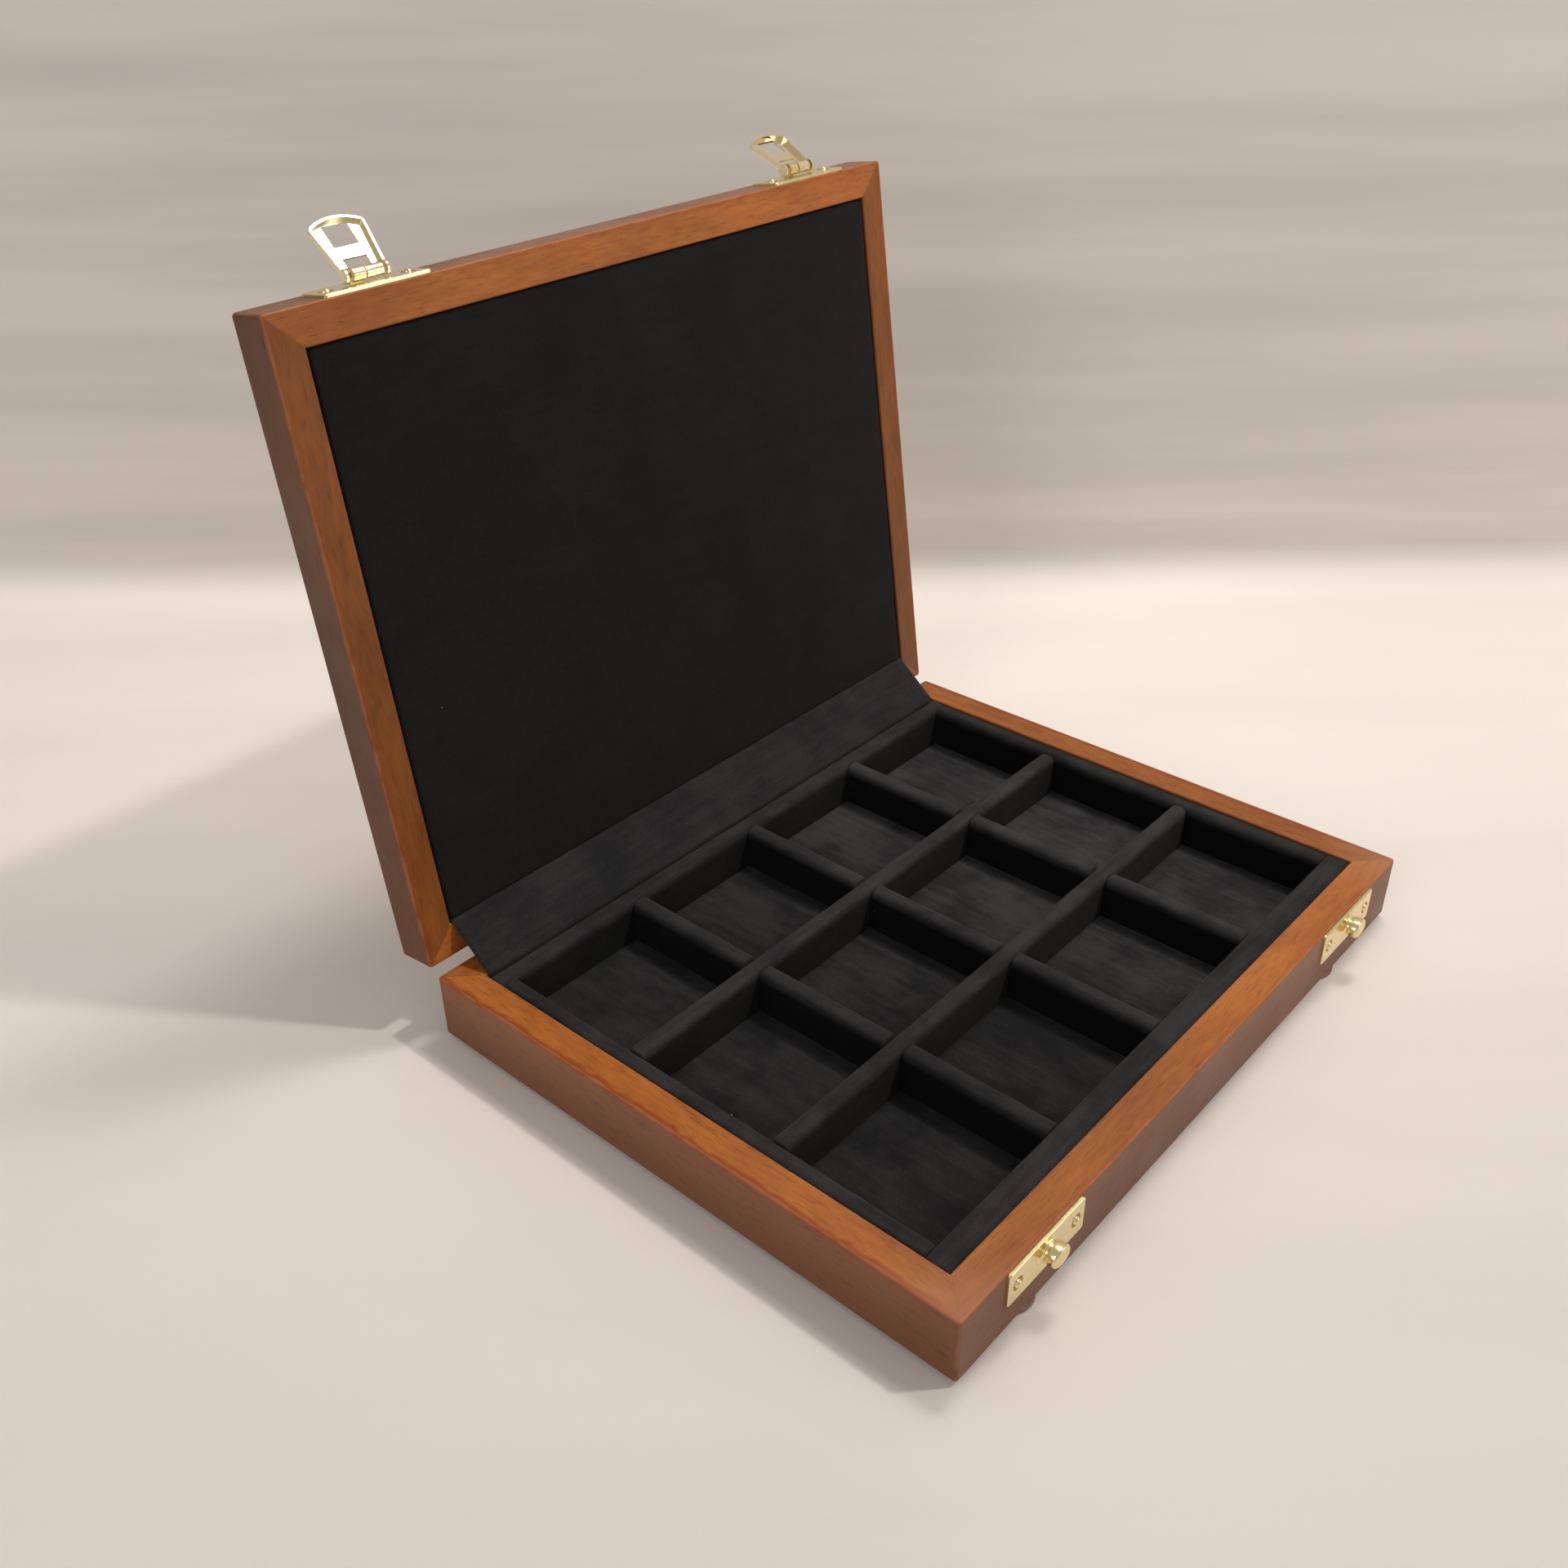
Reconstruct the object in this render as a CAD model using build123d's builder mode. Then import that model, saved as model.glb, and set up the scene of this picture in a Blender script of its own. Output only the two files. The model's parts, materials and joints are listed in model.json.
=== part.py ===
from build123d import *
import os

# Coin display case with a hinged lid, lined in velour, standing open.
# Millimetres. The origin is the middle of the base's flat underside, with X along
# the hinge to the user's right, Y from the latches back to the hinge and Z up.
# Every lid piece is drawn as it lies with the lid shut and is then carried open.

# Compartments, and the velour-covered boards between and around them
columns = 4
rows = 3
cell_size = 50.0
divider_thickness = 5.6
side_border = 5.75
front_border = 8.2
rear_border = 6.25
floor_board = 3.0
tray_drop = 0.4
board_gap = 0.15
board_edge = 1.3

# Wooden frames, one round the base and one round the lid
rail_thickness = 10.7
base_height = 22.0
lid_height = 14.3
rebate_width = 4.5
panel_thickness = 3.0
panel_gap = 0.1
corner_radius = 1.2
eased_edge = 0.6
lid_top_edge = 1.0
mating_gap = 0.4
lid_opening_angle = 97.5

# Padding and lining in the lid, and the fabric strip over the gap at the hinges
lining_thickness = 2.6
lining_drop = 0.4
lining_gap = 0.4
lining_corner = 2.0
lining_edge = 0.9
fabric_thickness = 0.5
strip_tuck = 6.0
strip_end_gap = 0.5

# Round pads stuck under the base
foot_radius = 7.5
foot_height = 2.0
foot_edge = 0.5
foot_inset = 7.1
left_foot_inset = 32.2
right_foot_inset = 42.0

# Brass sheet, nails and running fits
plate_thickness = 0.9
running_clearance = 0.05
nail_radius = 0.6
nail_length = 6.0
nail_head_radius = 1.35
nail_dish_radius = 2.2
nail_dish_depth = 0.5

# Two butt hinges, nailed to the rear faces
hinge_length = 25.0
hinge_inset = 50.0
hinge_drop = 0.3
barrel_radius = 1.9
barrel_gap = 0.15
hinge_pin_radius = 0.8
leaf_height = 9.5
leaf_start = 2.2
leaf_tongue_end = 0.8
leaf_corner = 0.8
leaf_nail_spacing = 16.0
leaf_nail_drop = 6.0

# Two latches: a plate with a swinging hasp on the lid, a plate with a knob on the base
latch_inset = 37.0
plate_width = 34.6
plate_height = 11.3
plate_corner = 0.9
plate_edge = 0.2
catch_plate_drop = 0.8
latch_plate_lift = 0.2
plate_nail_spacing = 26.6
pin_radius = 0.7
pin_recess = 0.8
pin_height = 3.2
pin_level = 6.3
sheet_thickness = 0.7
sheet_lift = 0.1
flange_reach = 1.3
hasp_root_width = 13.8
hasp_shoulder_width = 17.6
hasp_shoulder = 14.8
hasp_length = 17.2
hasp_corner = 1.5
hasp_fold = 0.5
window_width = 8.3
window_start = 8.6
window_length = 6.9
window_corner = 0.5
crossbar = 3.6
root_window_width = 7.8
root_gap = 2.3
ear_radius = 2.05
loop_radius = 1.9
loop_start = -4.4
loop_width = 3.7
curl_radius = 1.75
curl_end = 5.2
curl_gap = 0.6
hasp_angles = {"left": 128.5, "right": 146.5}

# Knob of each catch, a waisted oval stud that the hasp's window drops over
flare_width = 11.0
flare_height = 8.0
collar_width = 8.0
collar_height = 6.4
collar_level = 1.3
waist_width = 6.6
waist_height = 5.2
waist_start = 1.7
knob_start = 2.3
knob_width = 7.9
knob_height = 6.4
knob_bevel = 0.4
knob_shoulder = 4.9
knob_crown = 5.5
knob_crown_inset = 0.7
knob_end = 5.8
knob_end_inset = 1.9
shank_radius = 1.2
shank_length = 4.0

# Sizes and levels that follow from the ones above
tuck_room = fabric_thickness + 2 * board_gap
pitch = cell_size + divider_thickness
cells_width = columns * pitch - divider_thickness
cells_depth = rows * pitch - divider_thickness
interior_width = cells_width + 2 * (side_border + board_gap)
interior_depth = cells_depth + front_border + rear_border + board_gap + tuck_room
case_width = interior_width + 2 * rail_thickness
case_depth = interior_depth + 2 * rail_thickness
front_face = -case_depth / 2
rear_face = case_depth / 2
rim = base_height
lid_rim = rim + mating_gap
lid_top = lid_rim + lid_height
floor_top = panel_thickness + floor_board
tray_top = rim - tray_drop
tray_front = -interior_depth / 2 + board_gap
tray_rear = interior_depth / 2 - tuck_room
cells_front = tray_front + front_border
cells_rear = tray_rear - rear_border
cells_right = cells_width / 2
hinge_y = rear_face + barrel_radius + barrel_gap
hinge_z = rim - hinge_drop
catch_plate_z = rim - catch_plate_drop - plate_height / 2
latch_plate_z = lid_rim + latch_plate_lift + plate_height / 2
pin_z = lid_rim + pin_level
knob_z = pin_z - window_start - window_length / 2
hinge_places = {"left": hinge_inset - case_width / 2, "right": case_width / 2 - hinge_inset}
latch_places = {"left": latch_inset - case_width / 2, "right": case_width / 2 - latch_inset}


def turn(y, z, angle):
    """A swing about the line along X through y and z."""
    centre = Location((0, y, z))
    return centre * Location((0, 0, 0), (angle, 0, 0)) * centre.inverse()


lid_swing = turn(hinge_y, hinge_z, -lid_opening_angle)


def opened(plane):
    """A plane of the shut lid, carried with the lid to where it stands open."""
    return Plane(lid_swing * plane.location)


def level(height):
    """A level plane at a height above the underside."""
    return Plane.XY.offset(height)


def on_front(x, z):
    """A plane on the front face: local X to the right, local Y up, local Z outwards."""
    return Plane(origin=(x, front_face, z), x_dir=(1, 0, 0), z_dir=(0, -1, 0))


def on_rear(x, z):
    """A plane on the rear face: local X to the left, local Y up, local Z outwards."""
    return Plane(origin=(x, rear_face, z), x_dir=(-1, 0, 0), z_dir=(0, 1, 0))


def pair(plane, spacing):
    """Two copies of a plane, half the spacing to each side along its local X."""
    return [plane.moved(Location((shift, 0, 0))) for shift in (-spacing / 2, spacing / 2)]


def save(piece, name):
    """Label a finished piece and write it as its own file."""
    piece.part.label = name
    export_step(piece.part, f"parts/{name}.step")


def rail_outline(side):
    """The mitred plan of one rail: a trapezium with its short edge inwards."""
    x, y, t = case_width / 2, case_depth / 2, 2 * rail_thickness
    outlines = {
        "front": [(-x, -y), (x, -y), (x - t, -y + t), (-x + t, -y + t)],
        "rear": [(-x, y), (x, y), (x - t, y - t), (-x + t, y - t)],
        "left": [(-x, -y), (-x, y), (-x + t, y - t), (-x + t, -y + t)],
        "right": [(x, -y), (x, y), (x - t, y - t), (x - t, -y + t)],
    }
    return outlines[side]


def frame_blank(bottom, height, rebate_bottom):
    """A rebated frame with rounded corners, before its edges are eased."""
    with BuildSketch(bottom) as walls:
        RectangleRounded(case_width, case_depth, corner_radius)
        Rectangle(interior_width, interior_depth, mode=Mode.SUBTRACT)
    extrude(walls.sketch, amount=height)
    with BuildSketch(bottom.offset(rebate_bottom)) as rebate:
        Rectangle(interior_width + 2 * rebate_width, interior_depth + 2 * rebate_width)
    extrude(rebate.sketch, amount=panel_thickness, mode=Mode.SUBTRACT)


def cut_mitres(bottom, height, side):
    """Keep only one side of the frame, between its two mitres."""
    with BuildSketch(bottom) as rail_plan:
        with BuildLine():
            Polyline(*rail_outline(side), close=True)
        make_face()
    extrude(rail_plan.sketch, amount=height, mode=Mode.INTERSECT)


def panel_blank(bottom):
    """A panel that drops into the rebate of a frame."""
    with BuildSketch(bottom) as panel_plan:
        Rectangle(
            interior_width + 2 * (rebate_width - panel_gap),
            interior_depth + 2 * (rebate_width - panel_gap),
        )
    extrude(panel_plan.sketch, amount=panel_thickness)


def cut_nail_holes(places):
    """Pilot holes for nails, from the wood's face inwards."""
    with Locations(*places):
        Hole(nail_radius + running_clearance, depth=nail_length + running_clearance)


def cut_nail_dishes(places):
    """A hole and a shallow dish for each nail, in a plate that lies on the wood."""
    with Locations(*[place.offset(plate_thickness) for place in places]):
        Hole(nail_radius + running_clearance, depth=2 * plate_thickness)
        Cone(
            nail_head_radius + running_clearance,
            nail_dish_radius,
            nail_dish_depth,
            align=(Align.CENTER, Align.CENTER, Align.MAX),
            mode=Mode.SUBTRACT,
        )


def nails(places):
    """Round-headed nails, each head seated in the dish of its plate."""
    seat = plate_thickness - nail_dish_depth
    with Locations(*places):
        Cylinder(nail_radius, nail_length, align=(Align.CENTER, Align.CENTER, Align.MAX))
        Cylinder(nail_radius, seat, align=(Align.CENTER, Align.CENTER, Align.MIN))
    with Locations(*[place.offset(seat) for place in places]):
        Sphere(nail_head_radius, arc_size1=0, align=None)


def plate_blank(plane):
    """A stamped plate with broken front edges and two dished nail holes."""
    with BuildSketch(plane) as plate_plan:
        RectangleRounded(plate_width, plate_height, plate_corner)
    extrude(plate_plan.sketch, amount=plate_thickness)
    outward = Axis(plane.origin, plane.z_dir)
    chamfer(faces().sort_by(outward)[-1].edges(), plate_edge)
    cut_nail_dishes(pair(plane, plate_nail_spacing))


catch_nail_places = []
latch_nail_places = []
for x in latch_places.values():
    catch_nail_places += pair(on_front(x, catch_plate_z), plate_nail_spacing)
    latch_nail_places += pair(opened(on_front(x, latch_plate_z)), plate_nail_spacing)

base_leaf_nail_places = []
lid_leaf_nail_places = []
for x in hinge_places.values():
    base_leaf_nail_places += pair(on_rear(x, hinge_z - leaf_nail_drop), leaf_nail_spacing)
    lid_leaf_nail_places += pair(opened(on_rear(x, hinge_z + leaf_nail_drop)), leaf_nail_spacing)

os.makedirs("parts", exist_ok=True)

# Base frame: four mitred rails with a rebate below for the bottom panel
for side in ("front", "rear", "left", "right"):
    with BuildPart() as base_rail:
        frame_blank(level(0), base_height, 0)
        fillet(faces().sort_by(Axis.Z)[-1].edges(), eased_edge)
        fillet(faces().sort_by(Axis.Z)[0].outer_wire().edges(), eased_edge)
        cut_mitres(level(0), base_height, side)
        if side == "front":
            cut_nail_holes(catch_nail_places)
            with Locations(*[on_front(x, knob_z) for x in latch_places.values()]):
                Hole(shank_radius + running_clearance, depth=shank_length + running_clearance)
        if side == "rear":
            cut_nail_holes(base_leaf_nail_places)
    save(base_rail, f"base_{side}_rail")

# Bottom panel, let up into the rebate of the base frame
with BuildPart() as base_bottom_panel:
    panel_blank(level(0))
save(base_bottom_panel, "base_bottom_panel")

# Feet: four round pads, near the ends of the front and rear rails
left_foot_x = left_foot_inset - case_width / 2
right_foot_x = case_width / 2 - right_foot_inset
foot_places = {
    "front_left": (left_foot_x, front_face + foot_inset),
    "front_right": (right_foot_x, front_face + foot_inset),
    "rear_left": (left_foot_x, rear_face - foot_inset),
    "rear_right": (right_foot_x, rear_face - foot_inset),
}
for name, place in foot_places.items():
    with BuildPart() as foot:
        with BuildSketch(level(-foot_height)):
            with Locations(place):
                Circle(foot_radius)
        extrude(amount=foot_height)
        chamfer(edges().group_by(Axis.Z)[0], foot_edge)
    save(foot, f"{name}_foot")

# Tray floor: one covered board on the bottom panel
tray_half_width = interior_width / 2 - board_gap
with BuildPart() as tray_floor:
    with BuildSketch(level(panel_thickness)):
        with Locations((0, (tray_front + tray_rear) / 2)):
            Rectangle(2 * tray_half_width, tray_rear - tray_front)
    extrude(amount=floor_board)
save(tray_floor, "tray_floor")

# Tray borders: covered boards along the four rails, given as low and high corners
border_corners = {
    "front": ((-tray_half_width, tray_front), (tray_half_width, cells_front)),
    "rear": ((-tray_half_width, cells_rear), (tray_half_width, tray_rear)),
    "left": ((-tray_half_width, cells_front), (-cells_right, cells_rear)),
    "right": ((cells_right, cells_front), (tray_half_width, cells_rear)),
}
for side, (low, high) in border_corners.items():
    along = Axis.X if side in ("front", "rear") else Axis.Y
    with BuildPart() as border:
        with BuildSketch(level(floor_top)):
            with Locations(((low[0] + high[0]) / 2, (low[1] + high[1]) / 2)):
                Rectangle(high[0] - low[0], high[1] - low[1])
        extrude(amount=tray_top - floor_top)
        fillet(edges().group_by(Axis.Z)[-1].filter_by(along), board_edge)
    save(border, f"tray_{side}_border")

# Dividers: soft-topped boards that cross with half laps, the long ones whole on top
lap_level = (floor_top + tray_top) / 2
long_rows = [cells_front + row * pitch - divider_thickness / 2 for row in range(1, rows)]
short_columns = [column * pitch - divider_thickness / 2 - cells_right for column in range(1, columns)]

for name, y in zip(("front", "rear"), long_rows):
    with BuildPart() as long_divider:
        with BuildSketch(level(floor_top)):
            with Locations((0, y)):
                Rectangle(cells_width - 2 * board_gap, divider_thickness)
        extrude(amount=tray_top - floor_top)
        fillet(edges().filter_by(Axis.Z), board_edge)
        fillet(edges().group_by(Axis.Z)[-1], board_edge - board_gap)
        with BuildSketch(level(floor_top)):
            with Locations(*[(x, y) for x in short_columns]):
                Rectangle(divider_thickness + 2 * board_gap, 2 * divider_thickness)
        extrude(amount=lap_level - floor_top, mode=Mode.SUBTRACT)
    save(long_divider, f"long_divider_{name}")

for name, x in zip(("left", "middle", "right"), short_columns):
    with BuildPart() as short_divider:
        with BuildSketch(level(floor_top)):
            with Locations((x, (cells_front + cells_rear) / 2)):
                Rectangle(divider_thickness, cells_depth - 2 * board_gap)
        extrude(amount=tray_top - floor_top)
        fillet(edges().group_by(Axis.Z)[-1].filter_by(Axis.Y), board_edge)
        with BuildSketch(level(lap_level - board_gap)):
            with Locations(*[(x, y) for y in long_rows]):
                Rectangle(2 * divider_thickness, divider_thickness + 2 * board_gap)
        extrude(amount=rim - lap_level, mode=Mode.SUBTRACT)
    save(short_divider, f"short_divider_{name}")

# Catch plates and their knobs on the base's front rail. The knob is a loft through
# ovals, each given by its distance from the wood, its width and its height
back_width = knob_width - 2 * knob_bevel
back_height = knob_height - 2 * knob_bevel
stem_rings = [
    (plate_thickness, flare_width, flare_height),
    (collar_level, collar_width, collar_height),
    (waist_start, waist_width, waist_height),
    (knob_start, waist_width, waist_height),
]
head_rings = [
    (knob_start, back_width, back_height),
    (knob_start + knob_bevel, knob_width, knob_height),
    (knob_shoulder, knob_width, knob_height),
    (knob_crown, knob_width - 2 * knob_crown_inset, knob_height - 2 * knob_crown_inset),
    (knob_end, knob_width - 2 * knob_end_inset, knob_height - 2 * knob_end_inset),
]
for name, x in latch_places.items():
    wood = on_front(x, knob_z)
    with BuildPart() as catch_plate:
        plate_blank(on_front(x, catch_plate_z))
        with Locations(wood.offset(plate_thickness)):
            Hole(shank_radius + running_clearance, depth=2 * plate_thickness)
    save(catch_plate, f"{name}_catch_plate")

    with BuildPart() as catch_knob:
        with BuildSketch(wood.offset(-shank_length)):
            Circle(shank_radius)
        extrude(amount=shank_length + plate_thickness)
        for rings in (stem_rings, head_rings):
            for distance, across_x, across_z in rings:
                with BuildSketch(wood.offset(distance)):
                    Ellipse(across_x / 2, across_z / 2)
            loft(ruled=True)
    save(catch_knob, f"{name}_catch_knob")

with BuildPart() as catch_nails:
    nails(catch_nail_places)
save(catch_nails, "catch_nails")

# Lid frame: four mitred rails with a rebate above for the top panel
lid_bottom = opened(level(lid_rim))
lid_up = Axis(lid_bottom.origin, lid_bottom.z_dir)
for side in ("front", "rear", "left", "right"):
    with BuildPart() as lid_rail:
        frame_blank(lid_bottom, lid_height, lid_height - panel_thickness)
        fillet(faces().sort_by(lid_up)[0].edges(), eased_edge)
        fillet(faces().sort_by(lid_up)[-1].outer_wire().edges(), lid_top_edge)
        cut_mitres(lid_bottom, lid_height, side)
        if side == "front":
            cut_nail_holes(latch_nail_places)
        if side == "rear":
            cut_nail_holes(lid_leaf_nail_places)
    save(lid_rail, f"lid_{side}_rail")

# Top panel, let down into the rebate of the lid frame
with BuildPart() as lid_top_panel:
    panel_blank(opened(level(lid_top - panel_thickness)))
save(lid_top_panel, "lid_top_panel")

# Lining of the lid: a covered board with rounded corners, on a foam pad
lining_bottom = lid_rim + lining_drop
pad_bottom = lining_bottom + lining_thickness
lining_width = interior_width - 2 * lining_gap
lining_depth = interior_depth - lining_gap - tuck_room
lining_middle = (lining_gap - tuck_room) / 2


def lining_blank(bottom, thickness):
    """A board or pad that fills the lid frame, with rounded corners."""
    with BuildSketch(opened(level(bottom))) as lining_plan:
        with Locations((0, lining_middle)):
            RectangleRounded(lining_width, lining_depth, lining_corner)
    extrude(lining_plan.sketch, amount=thickness)


with BuildPart() as lid_lining_board:
    lining_blank(lining_bottom, lining_thickness)
    fillet(faces().sort_by(lid_up)[0].edges(), lining_edge)
save(lid_lining_board, "lid_lining_board")

with BuildPart() as lid_foam_pad:
    lining_blank(pad_bottom, lid_top - panel_thickness - pad_bottom)
save(lid_foam_pad, "lid_foam_pad")

# Fabric strip: tucked in behind the tray and the lining, and stretched flat between
strip_y = interior_depth / 2 - board_gap - fabric_thickness / 2


def side_view(y, z):
    """Where a point of the shut lid's side view lies with the lid open."""
    point = opened(Plane(origin=(0, y, z))).origin
    return (point.Y, point.Z)


with BuildPart() as hinge_cover_strip:
    with BuildSketch(Plane.YZ):
        with BuildLine():
            Polyline(
                (strip_y, rim - strip_tuck),
                (strip_y, rim),
                side_view(strip_y, lid_rim),
                side_view(strip_y, lid_rim + strip_tuck),
            )
        trace(line_width=fabric_thickness)
    extrude(amount=interior_width / 2 - strip_end_gap, both=True)
save(hinge_cover_strip, "hinge_cover_strip")

# Butt hinges: the base leaf has the two outer knuckles, the lid leaf the middle one
knuckle_length = (hinge_length - 2 * barrel_gap) / 3
outer_shift = (hinge_length - knuckle_length) / 2


def hinge_leaf(x, wood, side, shifts):
    """A leaf above (side 1) or below (side -1) the hinge line, rolled into knuckles."""
    tongue_height = leaf_height / 2 - leaf_tongue_end
    tongue_middle = leaf_tongue_end + tongue_height / 2
    with BuildSketch(wood) as leaf_plan:
        with Locations((0, side * (leaf_start + leaf_height) / 2)):
            RectangleRounded(hinge_length, leaf_height - leaf_start, leaf_corner)
        with Locations(*[(shift, side * tongue_middle) for shift in shifts]):
            Rectangle(knuckle_length, tongue_height)
    extrude(leaf_plan.sketch, amount=plate_thickness)
    for shift in shifts:
        with BuildSketch(Plane.YZ.offset(x + shift)) as knuckle:
            with Locations((hinge_y, hinge_z)):
                Circle(barrel_radius)
                Circle(hinge_pin_radius + running_clearance, mode=Mode.SUBTRACT)
        extrude(knuckle.sketch, amount=knuckle_length / 2, both=True)
    cut_nail_dishes(pair(wood.moved(Location((0, side * leaf_nail_drop, 0))), leaf_nail_spacing))


for name, x in hinge_places.items():
    with BuildPart() as base_leaf:
        hinge_leaf(x, on_rear(x, hinge_z), -1, (-outer_shift, outer_shift))
    save(base_leaf, f"{name}_hinge_base_leaf")

    with BuildPart() as lid_leaf:
        hinge_leaf(x, opened(on_rear(x, hinge_z)), 1, (0,))
    save(lid_leaf, f"{name}_hinge_lid_leaf")

    with BuildPart() as hinge_pin:
        with BuildSketch(Plane.YZ.offset(x)):
            with Locations((hinge_y, hinge_z)):
                Circle(hinge_pin_radius)
        extrude(amount=hinge_length / 2, both=True)
    save(hinge_pin, f"{name}_hinge_pin")

with BuildPart() as base_hinge_nails:
    nails(base_leaf_nail_places)
save(base_hinge_nails, "base_hinge_nails")

with BuildPart() as lid_hinge_nails:
    nails(lid_leaf_nail_places)
save(lid_hinge_nails, "lid_hinge_nails")


def pin_section(x):
    """A plane across a latch's pin: local X outwards, local Y down, local Z along X."""
    return Plane(origin=(x, front_face - pin_height, pin_z), x_dir=(0, -1, 0), z_dir=(1, 0, 0))


def pin_face(x):
    """A plane through a latch's pin: local X along X, local Y down, local Z to the wood."""
    return Plane(origin=(x, front_face - pin_height, pin_z), x_dir=(1, 0, 0), z_dir=(0, 1, 0))


# Latch plates on the lid's front rail, each with one loop rolled up round the pin
for name, x in latch_places.items():
    across = opened(pin_section(x))
    web_length = pin_height - plate_thickness / 2
    with BuildPart() as latch_plate:
        plate_blank(opened(on_front(x, latch_plate_z)))
        with BuildSketch(across.offset(loop_start)):
            with Locations((-web_length / 2, plate_thickness / 2 - loop_radius)):
                Rectangle(web_length, plate_thickness)
            Circle(loop_radius)
            Circle(pin_radius + running_clearance, mode=Mode.SUBTRACT)
        extrude(amount=loop_width)
    save(latch_plate, f"{name}_latch_plate")

    with BuildPart() as hasp_pin:
        with BuildSketch(across.offset(loop_start + pin_recess)):
            Circle(pin_radius)
        extrude(amount=curl_end - loop_start - pin_recess)
    save(hasp_pin, f"{name}_hasp_pin")

with BuildPart() as latch_nails:
    nails(latch_nail_places)
save(latch_nails, "latch_nails")

# Hasps: folded and pierced sheet, with side flanges, an arched tip and a curl on the pin
hasp_depth = sheet_lift + sheet_thickness + flange_reach
root_half = hasp_root_width / 2
shoulder_half = hasp_shoulder_width / 2
curl_start = loop_start + loop_width + curl_gap
strap_width = curl_end - root_window_width / 2
root_window_end = window_start - crossbar


def hasp_outline():
    """The hasp's face from the pin to its arched tip, wider towards the tip."""
    left, right = (-shoulder_half, hasp_shoulder), (shoulder_half, hasp_shoulder)
    with BuildLine() as outline:
        Polyline(left, (-root_half, 0), (root_half, 0), right)
        ThreePointArc(right, (0, hasp_length), left)
    make_face(outline.edges())
    fillet(vertices().group_by(Axis.Y)[-1], hasp_corner)


for name, x in latch_places.items():
    hasp_swing = lid_swing * turn(front_face - pin_height, pin_z, -hasp_angles[name])
    across = Plane(hasp_swing * pin_section(x).location)
    outer_face = Plane(hasp_swing * pin_face(x).location).offset(-sheet_lift - sheet_thickness)
    inner_face = outer_face.offset(sheet_thickness)
    inwards = Axis(outer_face.origin, outer_face.z_dir)
    with BuildPart() as hasp:
        with BuildSketch(outer_face):
            hasp_outline()
        extrude(amount=hasp_depth)
        fillet(faces().sort_by(inwards)[0].edges(), hasp_fold)
        with BuildSketch(inner_face):
            hasp_outline()
            offset(amount=-sheet_thickness, kind=Kind.INTERSECTION)
        extrude(amount=hasp_depth, mode=Mode.SUBTRACT)
        with BuildSketch(outer_face):
            with Locations((0, 0)):
                Rectangle(hasp_root_width - 2 * sheet_thickness, 2 * root_gap)
        extrude(amount=hasp_depth, mode=Mode.SUBTRACT)
        with BuildSketch(outer_face):
            with Locations((0, root_window_end / 2)):
                Rectangle(root_window_width, root_window_end)
            with Locations((0, window_start + window_length / 2)):
                RectangleRounded(window_width, window_length, window_corner)
        extrude(amount=sheet_thickness, mode=Mode.SUBTRACT)
        with BuildSketch(outer_face):
            with Locations((curl_end - strap_width / 2, root_gap / 2 + sheet_thickness / 2)):
                Rectangle(strap_width, root_gap + sheet_thickness)
        extrude(amount=sheet_thickness)
        for ear_start in (-root_half, root_half - sheet_thickness):
            with BuildSketch(across.offset(ear_start)):
                Circle(ear_radius)
            extrude(amount=sheet_thickness)
        with BuildSketch(across.offset(curl_start)):
            Circle(curl_radius)
        extrude(amount=curl_end - curl_start)
        with BuildSketch(across.offset(curl_start)):
            Circle(pin_radius + running_clearance)
        extrude(amount=curl_end - curl_start, mode=Mode.SUBTRACT)
    save(hasp, f"{name}_hasp")
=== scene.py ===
import json
import math

import bpy
import numpy as np
from bpy.props import FloatProperty, FloatVectorProperty, PointerProperty
from bpy.types import Operator, Panel, PropertyGroup
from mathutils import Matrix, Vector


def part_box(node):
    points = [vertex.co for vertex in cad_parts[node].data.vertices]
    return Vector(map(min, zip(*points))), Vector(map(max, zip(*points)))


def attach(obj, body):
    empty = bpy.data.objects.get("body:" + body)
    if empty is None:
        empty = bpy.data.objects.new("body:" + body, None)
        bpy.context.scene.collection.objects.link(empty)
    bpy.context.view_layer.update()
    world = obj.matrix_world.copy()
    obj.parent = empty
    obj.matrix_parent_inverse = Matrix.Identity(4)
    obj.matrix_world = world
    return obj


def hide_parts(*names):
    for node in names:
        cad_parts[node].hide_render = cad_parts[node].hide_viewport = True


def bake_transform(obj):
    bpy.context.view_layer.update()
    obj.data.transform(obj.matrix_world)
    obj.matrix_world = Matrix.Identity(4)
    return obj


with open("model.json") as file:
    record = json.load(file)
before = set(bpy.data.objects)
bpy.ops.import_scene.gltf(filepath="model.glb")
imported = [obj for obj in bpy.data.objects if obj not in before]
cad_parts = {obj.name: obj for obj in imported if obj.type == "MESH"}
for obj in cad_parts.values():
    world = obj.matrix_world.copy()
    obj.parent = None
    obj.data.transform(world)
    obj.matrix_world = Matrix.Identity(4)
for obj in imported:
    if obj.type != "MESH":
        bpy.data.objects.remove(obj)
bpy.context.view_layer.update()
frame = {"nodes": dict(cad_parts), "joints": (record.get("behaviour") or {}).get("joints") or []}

bl_info = {
    "name": "Coin display case",
    "version": (1, 0, 0),
    "blender": (4, 5, 0),
    "location": "View3D > Sidebar > Coin case",
    "description": "Velour tray, padded lid, hinge strip, knobs, finishes and stage of a coin display case",
    "category": "Object",
}

millimetre = 0.001

# Where the lid turns, and how far it stands open
lid_joint = next(joint for joint in frame["joints"] if joint["name"] == "lid_hinge")
hinge_axis = np.array(lid_joint["pos_m"], float)
lid_opening = math.radians(97.5)

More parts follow.
